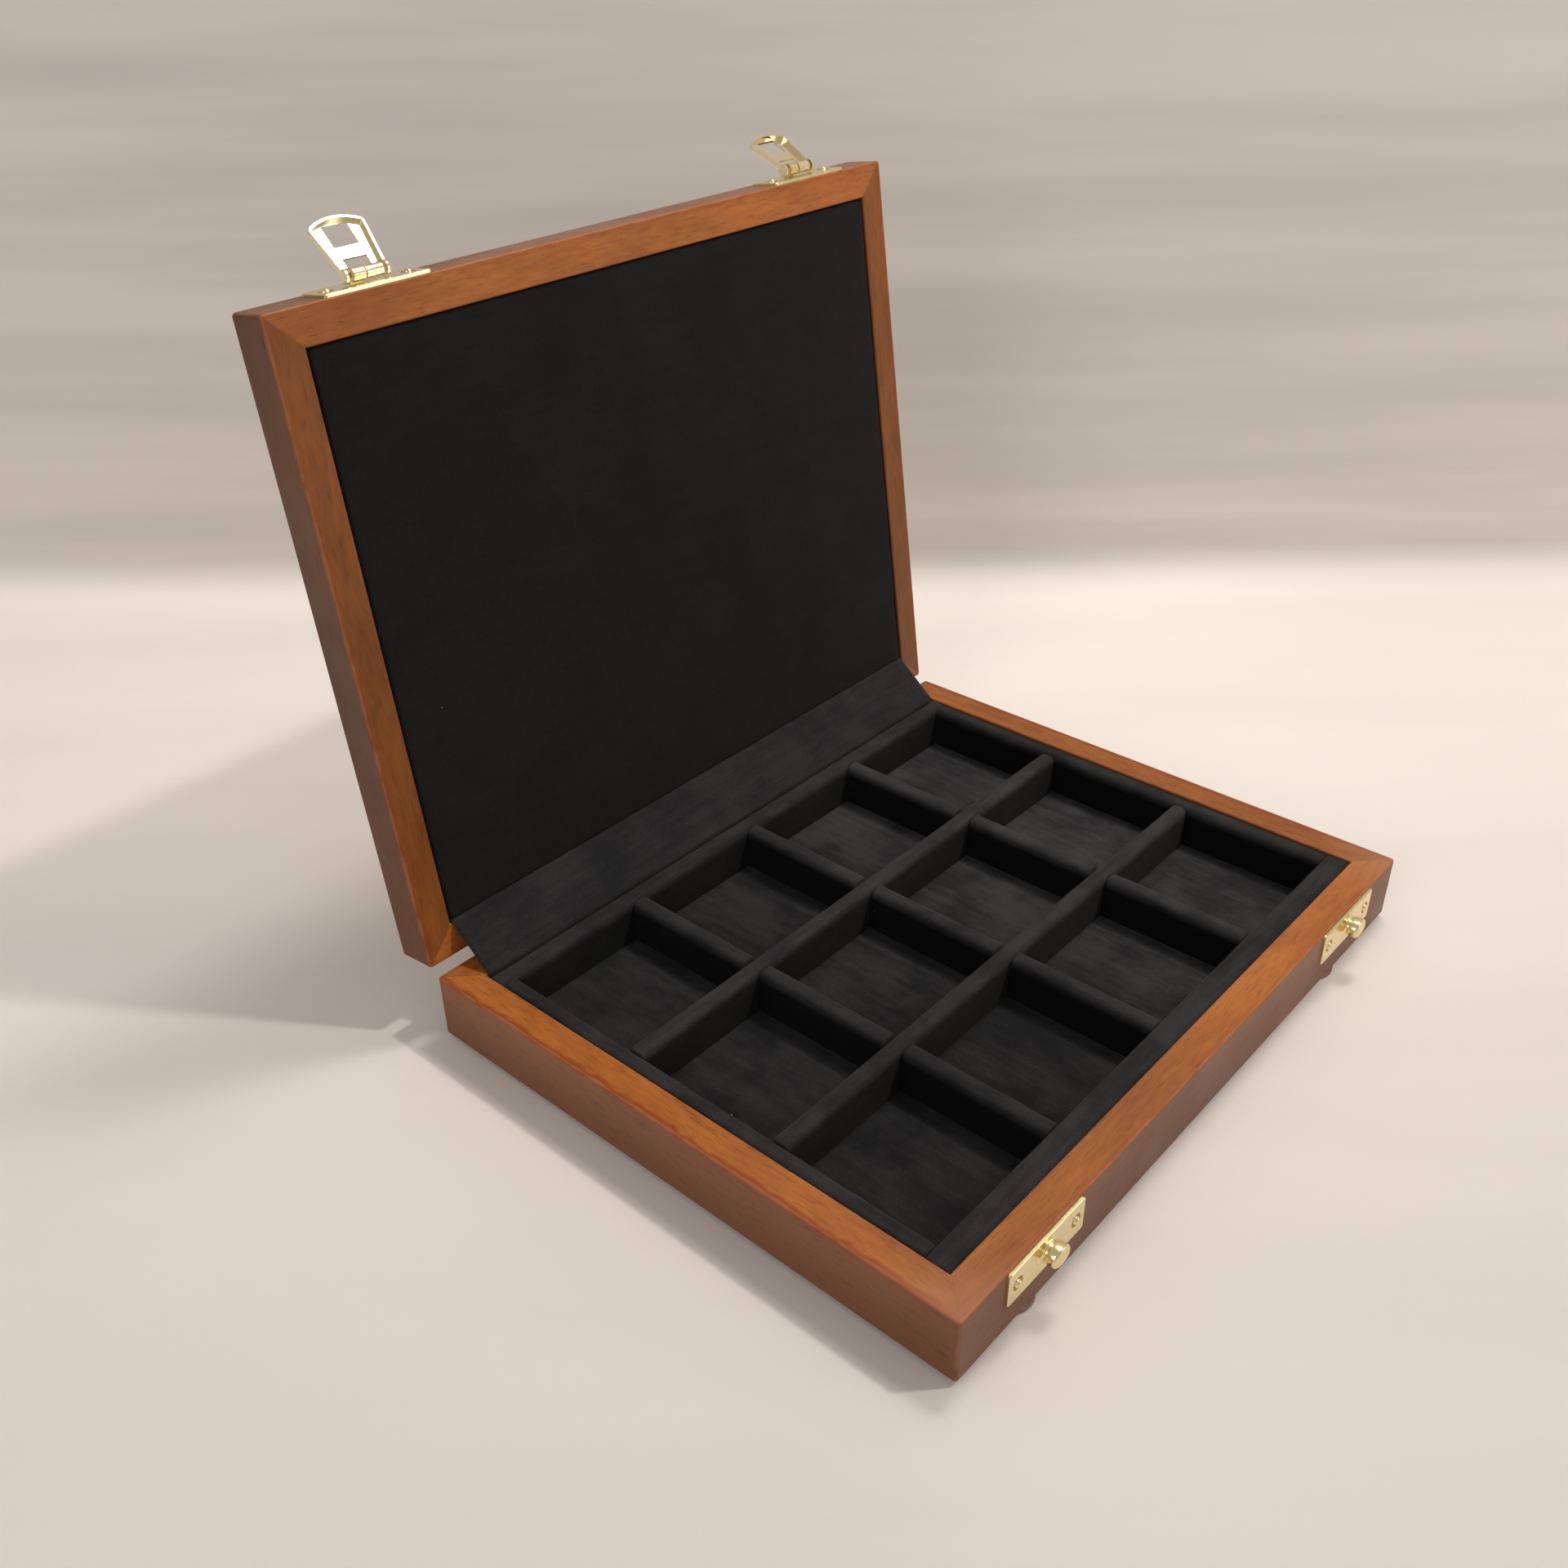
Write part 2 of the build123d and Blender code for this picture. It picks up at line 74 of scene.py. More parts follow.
# Levels of the two wooden frames with the lid shut
case_half_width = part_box("base_front_rail")[1][0]
case_half_depth = -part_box("base_front_rail")[0][1]
rim_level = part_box("base_front_rail")[1][2]
lid_rim_level = 0.0224
lid_top_level = 0.0367


class SoftPartSizes(PropertyGroup):
    """Sizes of the velour boards, the lid's lining and the strip over the hinges."""

    board_edge: FloatProperty(
        name="Board edge", description="Rounding where velour turns over the top of a tray board",
        default=0.0019, min=0.0002, max=0.0027, unit="LENGTH")
    board_end: FloatProperty(
        name="Board end", description="Rounding at the two ends of a tray board",
        default=0.0007, min=0.0001, max=0.002, unit="LENGTH")
    pile_unevenness: FloatProperty(
        name="Pile unevenness", description="How far the velour's surface wanders in and out",
        default=0.00006, min=0.0, max=0.0001, unit="LENGTH")
    lap_rounding: FloatProperty(
        name="Lap rounding", description="Length over which a short divider dips under a long one",
        default=0.0011, min=0.0002, max=0.003, unit="LENGTH")
    lining_crown: FloatProperty(
        name="Lining crown", description="How far the padded lining stands proud in its middle",
        default=0.0006, min=0.0, max=0.0008, unit="LENGTH")
    lining_corner: FloatProperty(
        name="Lining corner", description="Radius of the lining's four corners",
        default=0.002, min=0.001, max=0.02, unit="LENGTH")
    lining_edge: FloatProperty(
        name="Lining edge", description="Rounding of the padded edge",
        default=0.0012, min=0.0003, max=0.0013, unit="LENGTH")
    strip_bend: FloatProperty(
        name="Strip bend", description="Length over which the hinge strip turns at each rim",
        default=0.0012, min=0.0003, max=0.003, unit="LENGTH")


class FinishColours(PropertyGroup):
    """Colours of the wood, velour, brass and pads."""

    wood_light: FloatVectorProperty(
        name="Light wood", description="Stained wood between the growth lines", subtype="COLOR",
        default=(0.44, 0.14, 0.027), min=0.0, max=1.0)
    wood_dark: FloatVectorProperty(
        name="Dark wood", description="Stained wood along the growth lines", subtype="COLOR",
        default=(0.22, 0.062, 0.014), min=0.0, max=1.0)
    # Partly the sides' own duller stain, partly painted shade: the outer sides get less light than the
    # mating faces.
    side_wood_and_shade: FloatVectorProperty(
        name="Side wood", description="Duller stain of the outer sides", subtype="COLOR",
        default=(0.195, 0.078, 0.037), min=0.0, max=1.0)
    pooled_stain: FloatVectorProperty(
        name="Pooled stain", description="Line where the stain gathered by an outer edge", subtype="COLOR",
        default=(0.24, 0.042, 0.008), min=0.0, max=1.0)
    worn_edge: FloatVectorProperty(
        name="Worn edge", description="Wood where the stain is rubbed thin", subtype="COLOR",
        default=(0.40, 0.19, 0.11), min=0.0, max=1.0)
    velour: FloatVectorProperty(
        name="Velour", description="Velour seen into its pile", subtype="COLOR",
        default=(0.0085, 0.0085, 0.009), min=0.0, max=1.0)
    velour_brushed: FloatVectorProperty(
        name="Brushed velour", description="Velour where the pile lies over", subtype="COLOR",
        default=(0.024, 0.0235, 0.024), min=0.0, max=1.0)
    lint: FloatVectorProperty(
        name="Lint", description="White specks of lint on the velour", subtype="COLOR",
        default=(0.6, 0.58, 0.55), min=0.0, max=1.0)
    brass: FloatVectorProperty(
        name="Brass", description="Polished brass", subtype="COLOR",
        default=(0.87, 0.73, 0.40), min=0.0, max=1.0)
    # Painted highlight: colour mixed into the hasps' brass, standing in for the bright lamp they mirror.
    painted_glint_colour: FloatVectorProperty(
        name="Pale brass", description="Colour that the brass of the hasps leans to", subtype="COLOR",
        default=(1.0, 0.94, 0.84), min=0.0, max=1.0)
    tarnish: FloatVectorProperty(
        name="Tarnish", description="Brass where fingers have dulled it", subtype="COLOR",
        default=(0.72, 0.58, 0.30), min=0.0, max=1.0)
    # Grime and painted shade in the nail dishes: part of their darkness is the shade and dark reflection in
    # the hollows.
    dish_dirt_and_shade: FloatVectorProperty(
        name="Dish dirt", description="Olive dirt in the dishes round the nails", subtype="COLOR",
        default=(0.30, 0.20, 0.05), min=0.0, max=1.0)
    pad: FloatVectorProperty(
        name="Pad", description="Brown felt-like pads under the base", subtype="COLOR",
        default=(0.27, 0.165, 0.13), min=0.0, max=1.0)
    foam: FloatVectorProperty(
        name="Foam", description="Foam behind the lining", subtype="COLOR",
        default=(0.62, 0.58, 0.48), min=0.0, max=1.0)


class StageSettings(PropertyGroup):
    """Floor, wall, lamps and camera."""

    floor: FloatVectorProperty(
        name="Floor", description="Colour of the pale floor", subtype="COLOR",
        default=(0.77, 0.715, 0.67), min=0.0, max=1.0)
    wall: FloatVectorProperty(
        name="Wall", description="Colour of the wall behind", subtype="COLOR",
        default=(0.68, 0.635, 0.595), min=0.0, max=1.0)
    wall_distance: FloatProperty(
        name="Wall distance", description="From under the camera to the foot of the wall",
        default=0.70, min=0.3, max=5.0, unit="LENGTH")
    ceiling_power: FloatProperty(
        name="Ceiling lamp", description="Power of the wide lamp overhead", default=6.3, min=0.0, max=100.0)
    key_power: FloatProperty(
        name="Right lamp", description="Power of the key lamp to the right", default=8.8, min=0.0, max=100.0)
    side_power: FloatProperty(
        name="Left lamp", description="Power of the wide lamp to the left", default=4.9, min=0.0, max=100.0)
    small_power: FloatProperty(
        name="Small lamp", description="Power of the lamp that the hasps mirror",
        default=0.28, min=0.0, max=100.0)
    low_power: FloatProperty(
        name="Low lamp", description="Power of the low lamp in front", default=1.8, min=0.0, max=100.0)
    room_light: FloatProperty(
        name="Room light", description="Strength of the light all round", default=0.43, min=0.0, max=5.0)
    lens: FloatProperty(
        name="Lens", description="Focal length on a sensor 36 mm wide", default=35.42, min=10.0, max=200.0,
        unit="CAMERA")


# Surfaces made from arrays of points

def turned(points, angle):
    """Points carried round the lid's hinge: y and z turn about its axis, x stays."""
    y = points[..., 1] - hinge_axis[1]
    z = points[..., 2] - hinge_axis[2]
    cosine = math.cos(angle)
    sine = math.sin(angle)
    return np.stack([points[..., 0],
                     hinge_axis[1] + cosine * y - sine * z,
                     hinge_axis[2] + sine * y + cosine * z], axis=-1)


def opened(points):
    """Points of the shut lid, carried to where the lid stands open."""
    return turned(points, -lid_opening)


def node_box(node):
    """Lowest and highest corner of a CAD node, as it stands."""
    low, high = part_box(node)
    return np.array(low, float), np.array(high, float)


def shut_box(node):
    """Lowest and highest corner of a lid node, measured with the lid shut."""
    vertices = frame["nodes"][node].data.vertices
    flat = np.empty(3 * len(vertices), np.float32)
    vertices.foreach_get("co", flat)
    points = turned(flat.reshape(-1, 3).astype(float), lid_opening)
    return points.min(axis=0), points.max(axis=0)


def smooth_step(start, end, value):
    """0 before start, 1 after end and 3t^2 - 2t^3 between them."""
    share = np.clip((value - start) / (end - start), 0.0, 1.0)
    return share * share * (3.0 - 2.0 * share)


def wandering(points, amount, length, seed):
    """Points moved by the mean of six slow waves in fixed directions, each coordinate with its own phases.
    The gain brings the mean up to about the amount."""
    wave_count = 6
    gain = 1.6
    draw = np.random.default_rng(seed)
    turns = draw.normal(size=(3, wave_count, 3)) * (2.0 * math.pi / length)
    phases = draw.uniform(0.0, 2.0 * math.pi, size=(3, wave_count))
    waves = np.sin(np.einsum("...j,ckj->...ck", points, turns) + phases)
    return points + amount * waves.mean(axis=-1) * gain


def rounded_outline(half_width, half_height, radius, arc_points, side_points):
    """Closed outlines of rounded rectangles, one row for each entry: four quarter circles of the given
    radii round the corners' centres, joined by straight runs divided evenly."""
    half_width = np.asarray(half_width, float)[:, None, None]
    half_height = np.asarray(half_height, float)[:, None, None]
    radius = np.asarray(radius, float)[:, :, None]
    side_x = np.array([1, -1, -1, 1])[None, :, None]
    side_y = np.array([1, 1, -1, -1])[None, :, None]
    angle = (np.arange(4)[:, None] + np.linspace(0.0, 1.0, arc_points)[None, :]) * (math.pi / 2)
    arc_x = side_x * (half_width - radius) + radius * np.cos(angle)[None]
    arc_y = side_y * (half_height - radius) + radius * np.sin(angle)[None]
    arcs = np.stack([arc_x, arc_y], axis=-1)
    share = (np.arange(1, side_points + 1) / (side_points + 1))[None, None, :, None]
    runs = arcs[:, :, -1:, :] * (1.0 - share) + np.roll(arcs, -1, axis=1)[:, :, :1, :] * share
    outline = np.concatenate([arcs, runs], axis=2)
    return outline.reshape(outline.shape[0], -1, 2)


def softened(path, rounds):
    """A path with its corners cut: each round replaces a run by its points at a quarter and three quarters,
    and keeps the two ends."""
    for _ in range(rounds):
        quarters = np.stack([0.75 * path[:-1] + 0.25 * path[1:], 0.25 * path[:-1] + 0.75 * path[1:]], axis=1)
        path = np.concatenate([path[:1], quarters.reshape(-1, path.shape[1]), path[-1:]])
    return path


def shell(name, rings, body=None):
    """One closed skin: quads between each ring of points and the next, and a flat face on the first and the
    last ring. The faces are turned outwards by the sign of the volume they enclose."""
    stations, around = rings.shape[:2]
    points = rings.reshape(-1, 3)
    station = np.arange(stations - 1)[:, None] * around
    here = np.arange(around)[None, :]
    after = (here + 1) % around
    beyond = station + around
    quads = np.stack([station + here, station + after, beyond + after, beyond + here], axis=-1)
    quads = quads.reshape(-1, 4)
    first = np.arange(around)[::-1]
    last = (stations - 1) * around + np.arange(around)
    corner = points - points.mean(axis=0)
    a, b, c, d = (corner[quads[:, k]] for k in range(4))
    volume = (np.cross(a, b) * c).sum() + (np.cross(a, c) * d).sum()
    if volume < 0:
        quads = quads[:, ::-1]
        first = first[::-1]
        last = last[::-1]
    loops = np.concatenate([quads.ravel(), first, last]).astype(np.int32)
    sizes = np.concatenate([np.full(len(quads), 4), [around, around]])
    mesh = bpy.data.meshes.new(name)
    mesh.vertices.add(len(points))
    mesh.vertices.foreach_set("co", points.astype(np.float32).ravel())
    mesh.loops.add(len(loops))
    mesh.loops.foreach_set("vertex_index", loops)
    mesh.polygons.add(len(sizes))
    mesh.polygons.foreach_set("loop_start", (np.cumsum(sizes) - sizes).astype(np.int32))
    mesh.update(calc_edges=True)
    mesh.validate()
    mesh.polygons.foreach_set("use_smooth", np.ones(len(sizes), bool))
    piece = bpy.data.objects.new(name, mesh)
    bpy.context.scene.collection.objects.link(piece)
    if body:
        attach(piece, body)
    return piece


def end_stations(low, high, rounding, inner):
    """Stations along a board from low to high, and the inset of the board's outline at each: the ends follow
    a quarter circle, so the outline shrinks by its height as the end comes near."""
    arc_points = 6
    angle = np.linspace(0.0, math.pi / 2, arc_points)
    rise = rounding * (1.0 - np.cos(angle))
    inset = rounding * (1.0 - np.sin(angle))
    middle = inner[(inner > low + rounding) & (inner < high - rounding)]
    places = np.concatenate([low + rise, middle, high - rise[::-1]])
    insets = np.concatenate([inset, np.zeros(len(middle)), inset[::-1]])
    return places, insets


def wrapped_board(name, low, high, along, sizes, seed, top=None, bottom=None, extra=()):
    """A board wrapped in velour: a rounded outline carried along x or y. Its top edges have the board edge's
    rounding and its lower edges a tight one; top and bottom, functions of the place along the board, give
    the levels where laps are cut."""
    across = 1 - along
    stations = 160
    tight_edge = 0.25 * millimetre
    wave_length = 18.0 * millimetre
    inner = np.linspace(low[along], high[along], stations)
    inner = np.unique(np.concatenate([inner, np.asarray(extra, float)]))
    places, insets = end_stations(low[along], high[along], sizes.board_end, inner)
    upper = np.full(len(places), high[2]) if top is None else top(places)
    lower = np.full(len(places), low[2]) if bottom is None else bottom(places)
    half_width = (high[across] - low[across]) / 2 - insets
    half_height = (upper - lower) / 2 - insets
    top_edge = np.minimum(sizes.board_edge, 0.9 * np.minimum(half_width, half_height))
    low_edge = np.minimum(tight_edge, 0.5 * np.minimum(half_width, half_height))
    radius = np.stack([top_edge, top_edge, low_edge, low_edge], axis=1)
    outline = rounded_outline(half_width, half_height, radius, arc_points=8, side_points=5)
    rings = np.empty(outline.shape[:2] + (3,))
    rings[..., along] = places[:, None]
    rings[..., across] = (high[across] + low[across]) / 2 + outline[..., 0]
    rings[..., 2] = ((upper + lower) / 2)[:, None] + outline[..., 1]
    rings = wandering(rings, sizes.pile_unevenness, wave_length, seed)
    return shell(name, rings, "base")


def padded_slab(name, low, high, corner, edge, crown, seed, unevenness):
    """A padded slab made from rings: small rings at the middle of the back grow to the full rounded outline,
    turn round the edge in a quarter circle and close again over the front, which rises by
    crown * (1 - share^5) towards its middle. Front is the lower side with the lid shut."""
    middle = (low + high) / 2
    half = (high - low) / 2
    wave_length = 50.0 * millimetre
    back_inset = 0.15 * edge
    side_inset = 0.05 * edge
    shares = np.concatenate([[0.01, 0.08], np.linspace(0.16, 0.97, 16)])
    count = len(shares)
    angle = np.linspace(0.0, math.pi / 2, 7)
    turn_inset = edge * (1.0 - np.cos(angle))
    turn_level = low[2] + edge * (1.0 - np.sin(angle))
    front_level = low[2] - crown * (1.0 - shares[::-1] ** 5)
    share = np.concatenate([shares, [1.0], np.ones(len(angle)), shares[::-1]])
    inset = np.concatenate([np.full(count, back_inset), [side_inset], turn_inset, np.full(count, edge)])
    level = np.concatenate([np.full(count, high[2]), [high[2] - back_inset], turn_level, front_level])
    radius = np.repeat(np.maximum(corner - inset, 0.2 * corner)[:, None], 4, axis=1)
    outline = rounded_outline(half[0] - inset, half[1] - inset, radius, arc_points=14, side_points=46)
    outline = outline * share[:, None, None]
    rings = np.empty(outline.shape[:2] + (3,))
    rings[..., :2] = middle[:2] + outline
    rings[..., 2] = level[:, None]
    rings = wandering(rings, unevenness, wave_length, seed)
    return shell(name, opened(rings), "lid")


# Finishes made from shader nodes

def feed(tree, node, inputs):
    """Gives the inputs of a node, by name or number, constants or other nodes' outputs."""
    for key, value in inputs.items():
        if isinstance(value, bpy.types.NodeSocket):
            tree.links.new(value, node.inputs[key])
        else:
            node.inputs[key].default_value = value


def add_node(tree, kind, inputs, **settings):
    """A shader node with its settings and inputs."""
    node = tree.nodes.new("ShaderNode" + kind)
    for key, value in settings.items():
        setattr(node, key, value)
    feed(tree, node, inputs)
    return node


def calc(tree, operation, *values):
    """The result of one sum on numbers or outputs."""
    node = add_node(tree, "Math", dict(enumerate(values)), operation=operation)
    return node.outputs[0]


def fade(tree, value, start, end, low=0.0, high=1.0):
    """A smooth change from low to high as a value goes from start to end."""
    inputs = {"Value": value, "From Min": start, "From Max": end, "To Min": low, "To Max": high}
    return add_node(tree, "MapRange", inputs, interpolation_type="SMOOTHSTEP").outputs[0]


def blended(tree, share, first, second, blend="MIX"):
    """Two colours mixed by a share."""
    node = add_node(tree, "Mix", {0: share, 6: first, 7: second}, data_type="RGBA", blend_type=blend)
    return node.outputs[2]


def shaded(tree, surface, factor):
    """A colour times a number."""
    grey = add_node(tree, "CombineXYZ", {0: factor, 1: factor, 2: factor}).outputs[0]
    return blended(tree, 1.0, surface, grey, "MULTIPLY")


def relief(tree, height, strength, distance):
    """The slopes of a height, for a shader's normal."""
    return add_node(tree, "Bump", {"Strength": strength, "Distance": distance, "Height": height}).outputs[0]


def colour(values, factor=1.0):
    """A property's colour times a factor, with full opacity."""
    return (*(factor * value for value in values), 1.0)


def noise(tree, place, scale, detail=3.0, roughness=0.5, distortion=0.0):
    """Soft noise read at a place."""
    inputs = {"Vector": place, "Scale": scale, "Detail": detail, "Roughness": roughness,
              "Distortion": distortion}
    return add_node(tree, "TexNoise", inputs).outputs["Fac"]


def stretched(tree, place, scale, turn=(0.0, 0.0, 0.0), shift=(0.0, 0.0, 0.0)):
    """Coordinates scaled, turned and shifted."""
    inputs = {"Vector": place, "Location": shift, "Rotation": turn, "Scale": scale}
    return add_node(tree, "Mapping", inputs).outputs[0]


def new_finish(name):
    """A material with its tree, its surface shader and the object's own coordinates."""
    material = bpy.data.materials.new(name)
    material.use_nodes = True
    tree = material.node_tree
    shader = tree.nodes["Principled BSDF"]
    place = add_node(tree, "TexCoord", {}).outputs["Object"]
    return material, tree, shader, place


def shut_place(tree, place):
    """Coordinates of an open lid carried back to where they are with the lid shut."""
    shift = tuple(turned(np.zeros(3), lid_opening))
    return stretched(tree, place, (1.0, 1.0, 1.0), (lid_opening, 0.0, 0.0), shift)


def wood_finish(name, colours, lengthwise, on_lid, tone, depth, mitred=True):
    """Satin stained wood. Growth lines and pores run along x or y, the outer sides are duller than the
    mating faces, partly their own stain and partly painted shade, and are painted lighter near the rim,
    stain has pooled by the outer edges, the edges and the base's front corners are rubbed pale, and a
    dark hairline follows the mitres of the rails. Tone picks the part of the plank and depth, from 0 to 1,
    how much darker the stain took."""
    material, tree, shader, place = new_finish(f"{name}, stained wood")
    if on_lid:
        place = shut_place(tree, place)
    axes = add_node(tree, "SeparateXYZ", {"Vector": place})
    from_side = calc(tree, "SUBTRACT", case_half_width, calc(tree, "ABSOLUTE", axes.outputs[0]))
    from_front = calc(tree, "SUBTRACT", case_half_depth, calc(tree, "ABSOLUTE", axes.outputs[1]))
    half_gap = (lid_rim_level - rim_level) / 2
    from_rim = calc(tree, "ABSOLUTE", calc(tree, "SUBTRACT", axes.outputs[2], rim_level + half_gap))
    from_rim = calc(tree, "MAXIMUM", calc(tree, "SUBTRACT", from_rim, half_gap), 0.0)
    on_side = fade(tree, from_rim, start=0.2 * millimetre, end=0.9 * millimetre)
    on_face = calc(tree, "SUBTRACT", 1.0, on_side)
    far_level = lid_top_level if on_lid else 0.0
    from_far = calc(tree, "ABSOLUTE", calc(tree, "SUBTRACT", axes.outputs[2], far_level))

    def along(amount):
        """Coordinates shortened along the grain by an amount."""
        squeeze = (amount, 1.0, 1.0) if lengthwise == 0 else (1.0, amount, 1.0)
        return stretched(tree, place, squeeze, shift=(tone, 2.0 * tone, 0.5 * tone))

    blotches = noise(tree, along(0.35), scale=120.0, detail=4.0, roughness=0.6, distortion=0.4)
    flecks = noise(tree, along(0.18), scale=700.0, detail=4.0, roughness=0.65, distortion=0.3)
    pores = noise(tree, along(0.10), scale=1500.0, detail=2.0)
    cloud = noise(tree, along(0.6), scale=14.0, detail=2.0)

    growth = calc(tree, "ADD", fade(tree, blotches, start=0.3, end=0.72, high=0.42),
                  fade(tree, flecks, start=0.35, end=0.7, high=0.32))
    face = blended(tree, growth, colour(colours.wood_light), colour(colours.wood_dark))
    # Painted light and shade: the outer sides are drawn lighter near the rim, fading over 14 mm, and their
    # duller colour is partly their own stain and partly painted shade.
    painted_rim_light_fade = fade(tree, from_rim, start=1.0 * millimetre, end=14.0 * millimetre)
    side = blended(tree, painted_rim_light_fade, colour(colours.side_wood_and_shade, factor=1.2), colour(colours.side_wood_and_shade))
    side = blended(tree, calc(tree, "MULTIPLY", growth, 0.5), side, colour(colours.wood_dark))
    surface = blended(tree, on_side, face, side)
    mean_shade = 0.97 * (1.0 - depth)
    swing = (0.17 if mitred else 0.07) * (1.0 - depth)
    shade = fade(tree, cloud, start=0.3, end=0.7, low=mean_shade - swing, high=mean_shade + swing)
    dark_pore = fade(tree, pores, start=0.58, end=0.70, low=1.0, high=0.72)
    shade = calc(tree, "MULTIPLY", shade, dark_pore)
    if mitred:
        mitre = calc(tree, "ABSOLUTE", calc(tree, "SUBTRACT", from_side, from_front))
        hairline = fade(tree, mitre, start=0.05 * millimetre, end=0.22 * millimetre, low=0.68)
        shade = calc(tree, "MULTIPLY", shade, hairline)
    surface = shaded(tree, surface, shade)

    unevenness = calc(tree, "SUBTRACT", 0.5, noise(tree, place, scale=170.0))
    outside = calc(tree, "MINIMUM", from_side, from_front)
    pooling = 0.85 if lengthwise == 1 and not on_lid else 0.3
    pool = calc(tree, "ADD", outside, calc(tree, "MULTIPLY", unevenness, 4.0 * millimetre))
    pool = fade(tree, pool, start=0.7 * millimetre, end=2.4 * millimetre, low=pooling, high=0.0)
    surface = blended(tree, calc(tree, "MULTIPLY", pool, on_face), surface, colour(colours.pooled_stain))
    top_edge = calc(tree, "MAXIMUM", outside, from_rim)
    corner_edge = calc(tree, "MAXIMUM", from_side, from_front)
    far_edge = calc(tree, "MAXIMUM", outside, from_far)
    edge = calc(tree, "MINIMUM", top_edge, calc(tree, "MINIMUM", corner_edge, far_edge))
    rubbed = calc(tree, "ADD", edge, calc(tree, "MULTIPLY", unevenness, 2.2 * millimetre))
    wear = fade(tree, rubbed, start=0.0, end=0.7 * millimetre, low=0.32, high=0.0)
    if not on_lid:
        corner = calc(tree, "ADD", from_side, calc(tree, "ADD", axes.outputs[1], case_half_depth))
        handled = fade(tree, corner, start=2.0 * millimetre, end=34.0 * millimetre, low=0.42, high=0.0)
        wear = calc(tree, "MAXIMUM", wear, calc(tree, "MULTIPLY", handled, on_face))
    surface = blended(tree, wear, surface, colour(colours.worn_edge))

    gloss = fade(tree, noise(tree, place, scale=55.0), start=0.3, end=0.7, low=0.36, high=0.46)
    gloss = calc(tree, "ADD", gloss, calc(tree, "MULTIPLY", wear, 0.2))
    height = calc(tree, "MULTIPLY", calc(tree, "ADD", flecks, dark_pore), 0.5)
    normal = relief(tree, height, strength=0.25, distance=0.08 * millimetre)
    feed(tree, shader, {"Base Color": surface, "Roughness": gloss, "Normal": normal,
                        "Specular IOR Level": 0.22, "Coat Weight": 0.04, "Coat Roughness": 0.3})
    return material


def velour_finish(name, colours, lengthwise, patchiness, depth, on_lid=False, sides=None, painted_light_share=0.0):
    """Black velour: short pile that shows patches where the pile lies over, faint lines from the hand, sheen
    at grazing light and a few white specks of lint. Patchiness is how far the patches differ, and depth how
    much darker the piece is drawn, partly how much the pile swallows and partly painted light: below zero
    for tops lit from above, above zero for the lid's lining in shade. Sides gives the level of a board's top
    and the share of brightness its sides keep below it, as painted shade; the last argument is how much
    lighter the pile is painted towards the right of the case, and with it the front is painted a little
    darker."""
    material, tree, shader, place = new_finish(f"{name}, black velour")
    if on_lid:
        place = shut_place(tree, place)
    axes = add_node(tree, "SeparateXYZ", {"Vector": place})
    hand_stroke = 0.16
    squeeze = (hand_stroke, 1.0, 1.0) if lengthwise == 0 else (1.0, hand_stroke, 1.0)
    patches = noise(tree, place, scale=42.0, roughness=0.55, distortion=0.4)
    strokes = noise(tree, stretched(tree, place, squeeze), scale=420.0, roughness=0.6)
    pile = noise(tree, place, scale=3800.0, detail=2.0, roughness=0.7)
    lie = calc(tree, "ADD", calc(tree, "MULTIPLY", patches, 0.62), calc(tree, "MULTIPLY", strokes, 0.38))
    lie = fade(tree, lie, start=0.36, end=0.66, low=0.5 - patchiness, high=0.5 + patchiness)
    surface = blended(tree, lie, colour(colours.velour), colour(colours.velour_brushed))
    # Painted light and shade: depth scales the whole piece's brightness, lighter below zero for tops lit
    # from above and darker above zero for the lid's lining, which faces the front.
    speckle = fade(tree, pile, start=0.35, end=0.72, low=0.7 * (1.0 - depth), high=1.4 * (1.0 - depth))
    # Painted shade: a board's sides are drawn darker below its top, down to the given share of their
    # brightness.
    if sides:
        top_level, side_light_share = sides
        below = calc(tree, "SUBTRACT", top_level, axes.outputs[2])
        painted_side_shade = fade(tree, below, start=1.3 * millimetre, end=4.0 * millimetre, low=1.0, high=side_light_share)
        speckle = calc(tree, "MULTIPLY", speckle, painted_side_shade)
    # Painted light and shade: the pile is drawn lighter towards the right of the case and darker towards its
    # front.
    if painted_light_share:
        painted_light_across = fade(tree, axes.outputs[0], start=-0.04, end=0.09, low=1.0, high=1.0 + painted_light_share)
        painted_front_shade = fade(tree, axes.outputs[1], start=-0.09, end=0.03, low=0.78)
        speckle = calc(tree, "MULTIPLY", speckle, calc(tree, "MULTIPLY", painted_light_across, painted_front_shade))
    surface = shaded(tree, surface, speckle)
    lint_cells = add_node(tree, "TexVoronoi", {"Vector": place, "Scale": 62.0})
    near = fade(tree, lint_cells.outputs["Distance"], start=0.008, end=0.014, low=0.55, high=0.0)
    chance = add_node(tree, "SeparateXYZ", {"Vector": lint_cells.outputs["Color"]}).outputs[0]
    lint = calc(tree, "MULTIPLY", near, calc(tree, "GREATER_THAN", chance, 0.55))
    surface = blended(tree, lint, surface, colour(colours.lint))
    normal = relief(tree, pile, strength=0.5, distance=0.15 * millimetre)
    feed(tree, shader, {"Base Color": surface, "Roughness": 0.95, "Normal": normal,
                        "Specular IOR Level": 0.1, "Sheen Weight": 0.07, "Sheen Roughness": 0.45,
                        "Sheen Tint": (0.75, 0.72, 0.70, 1.0)})
    return material


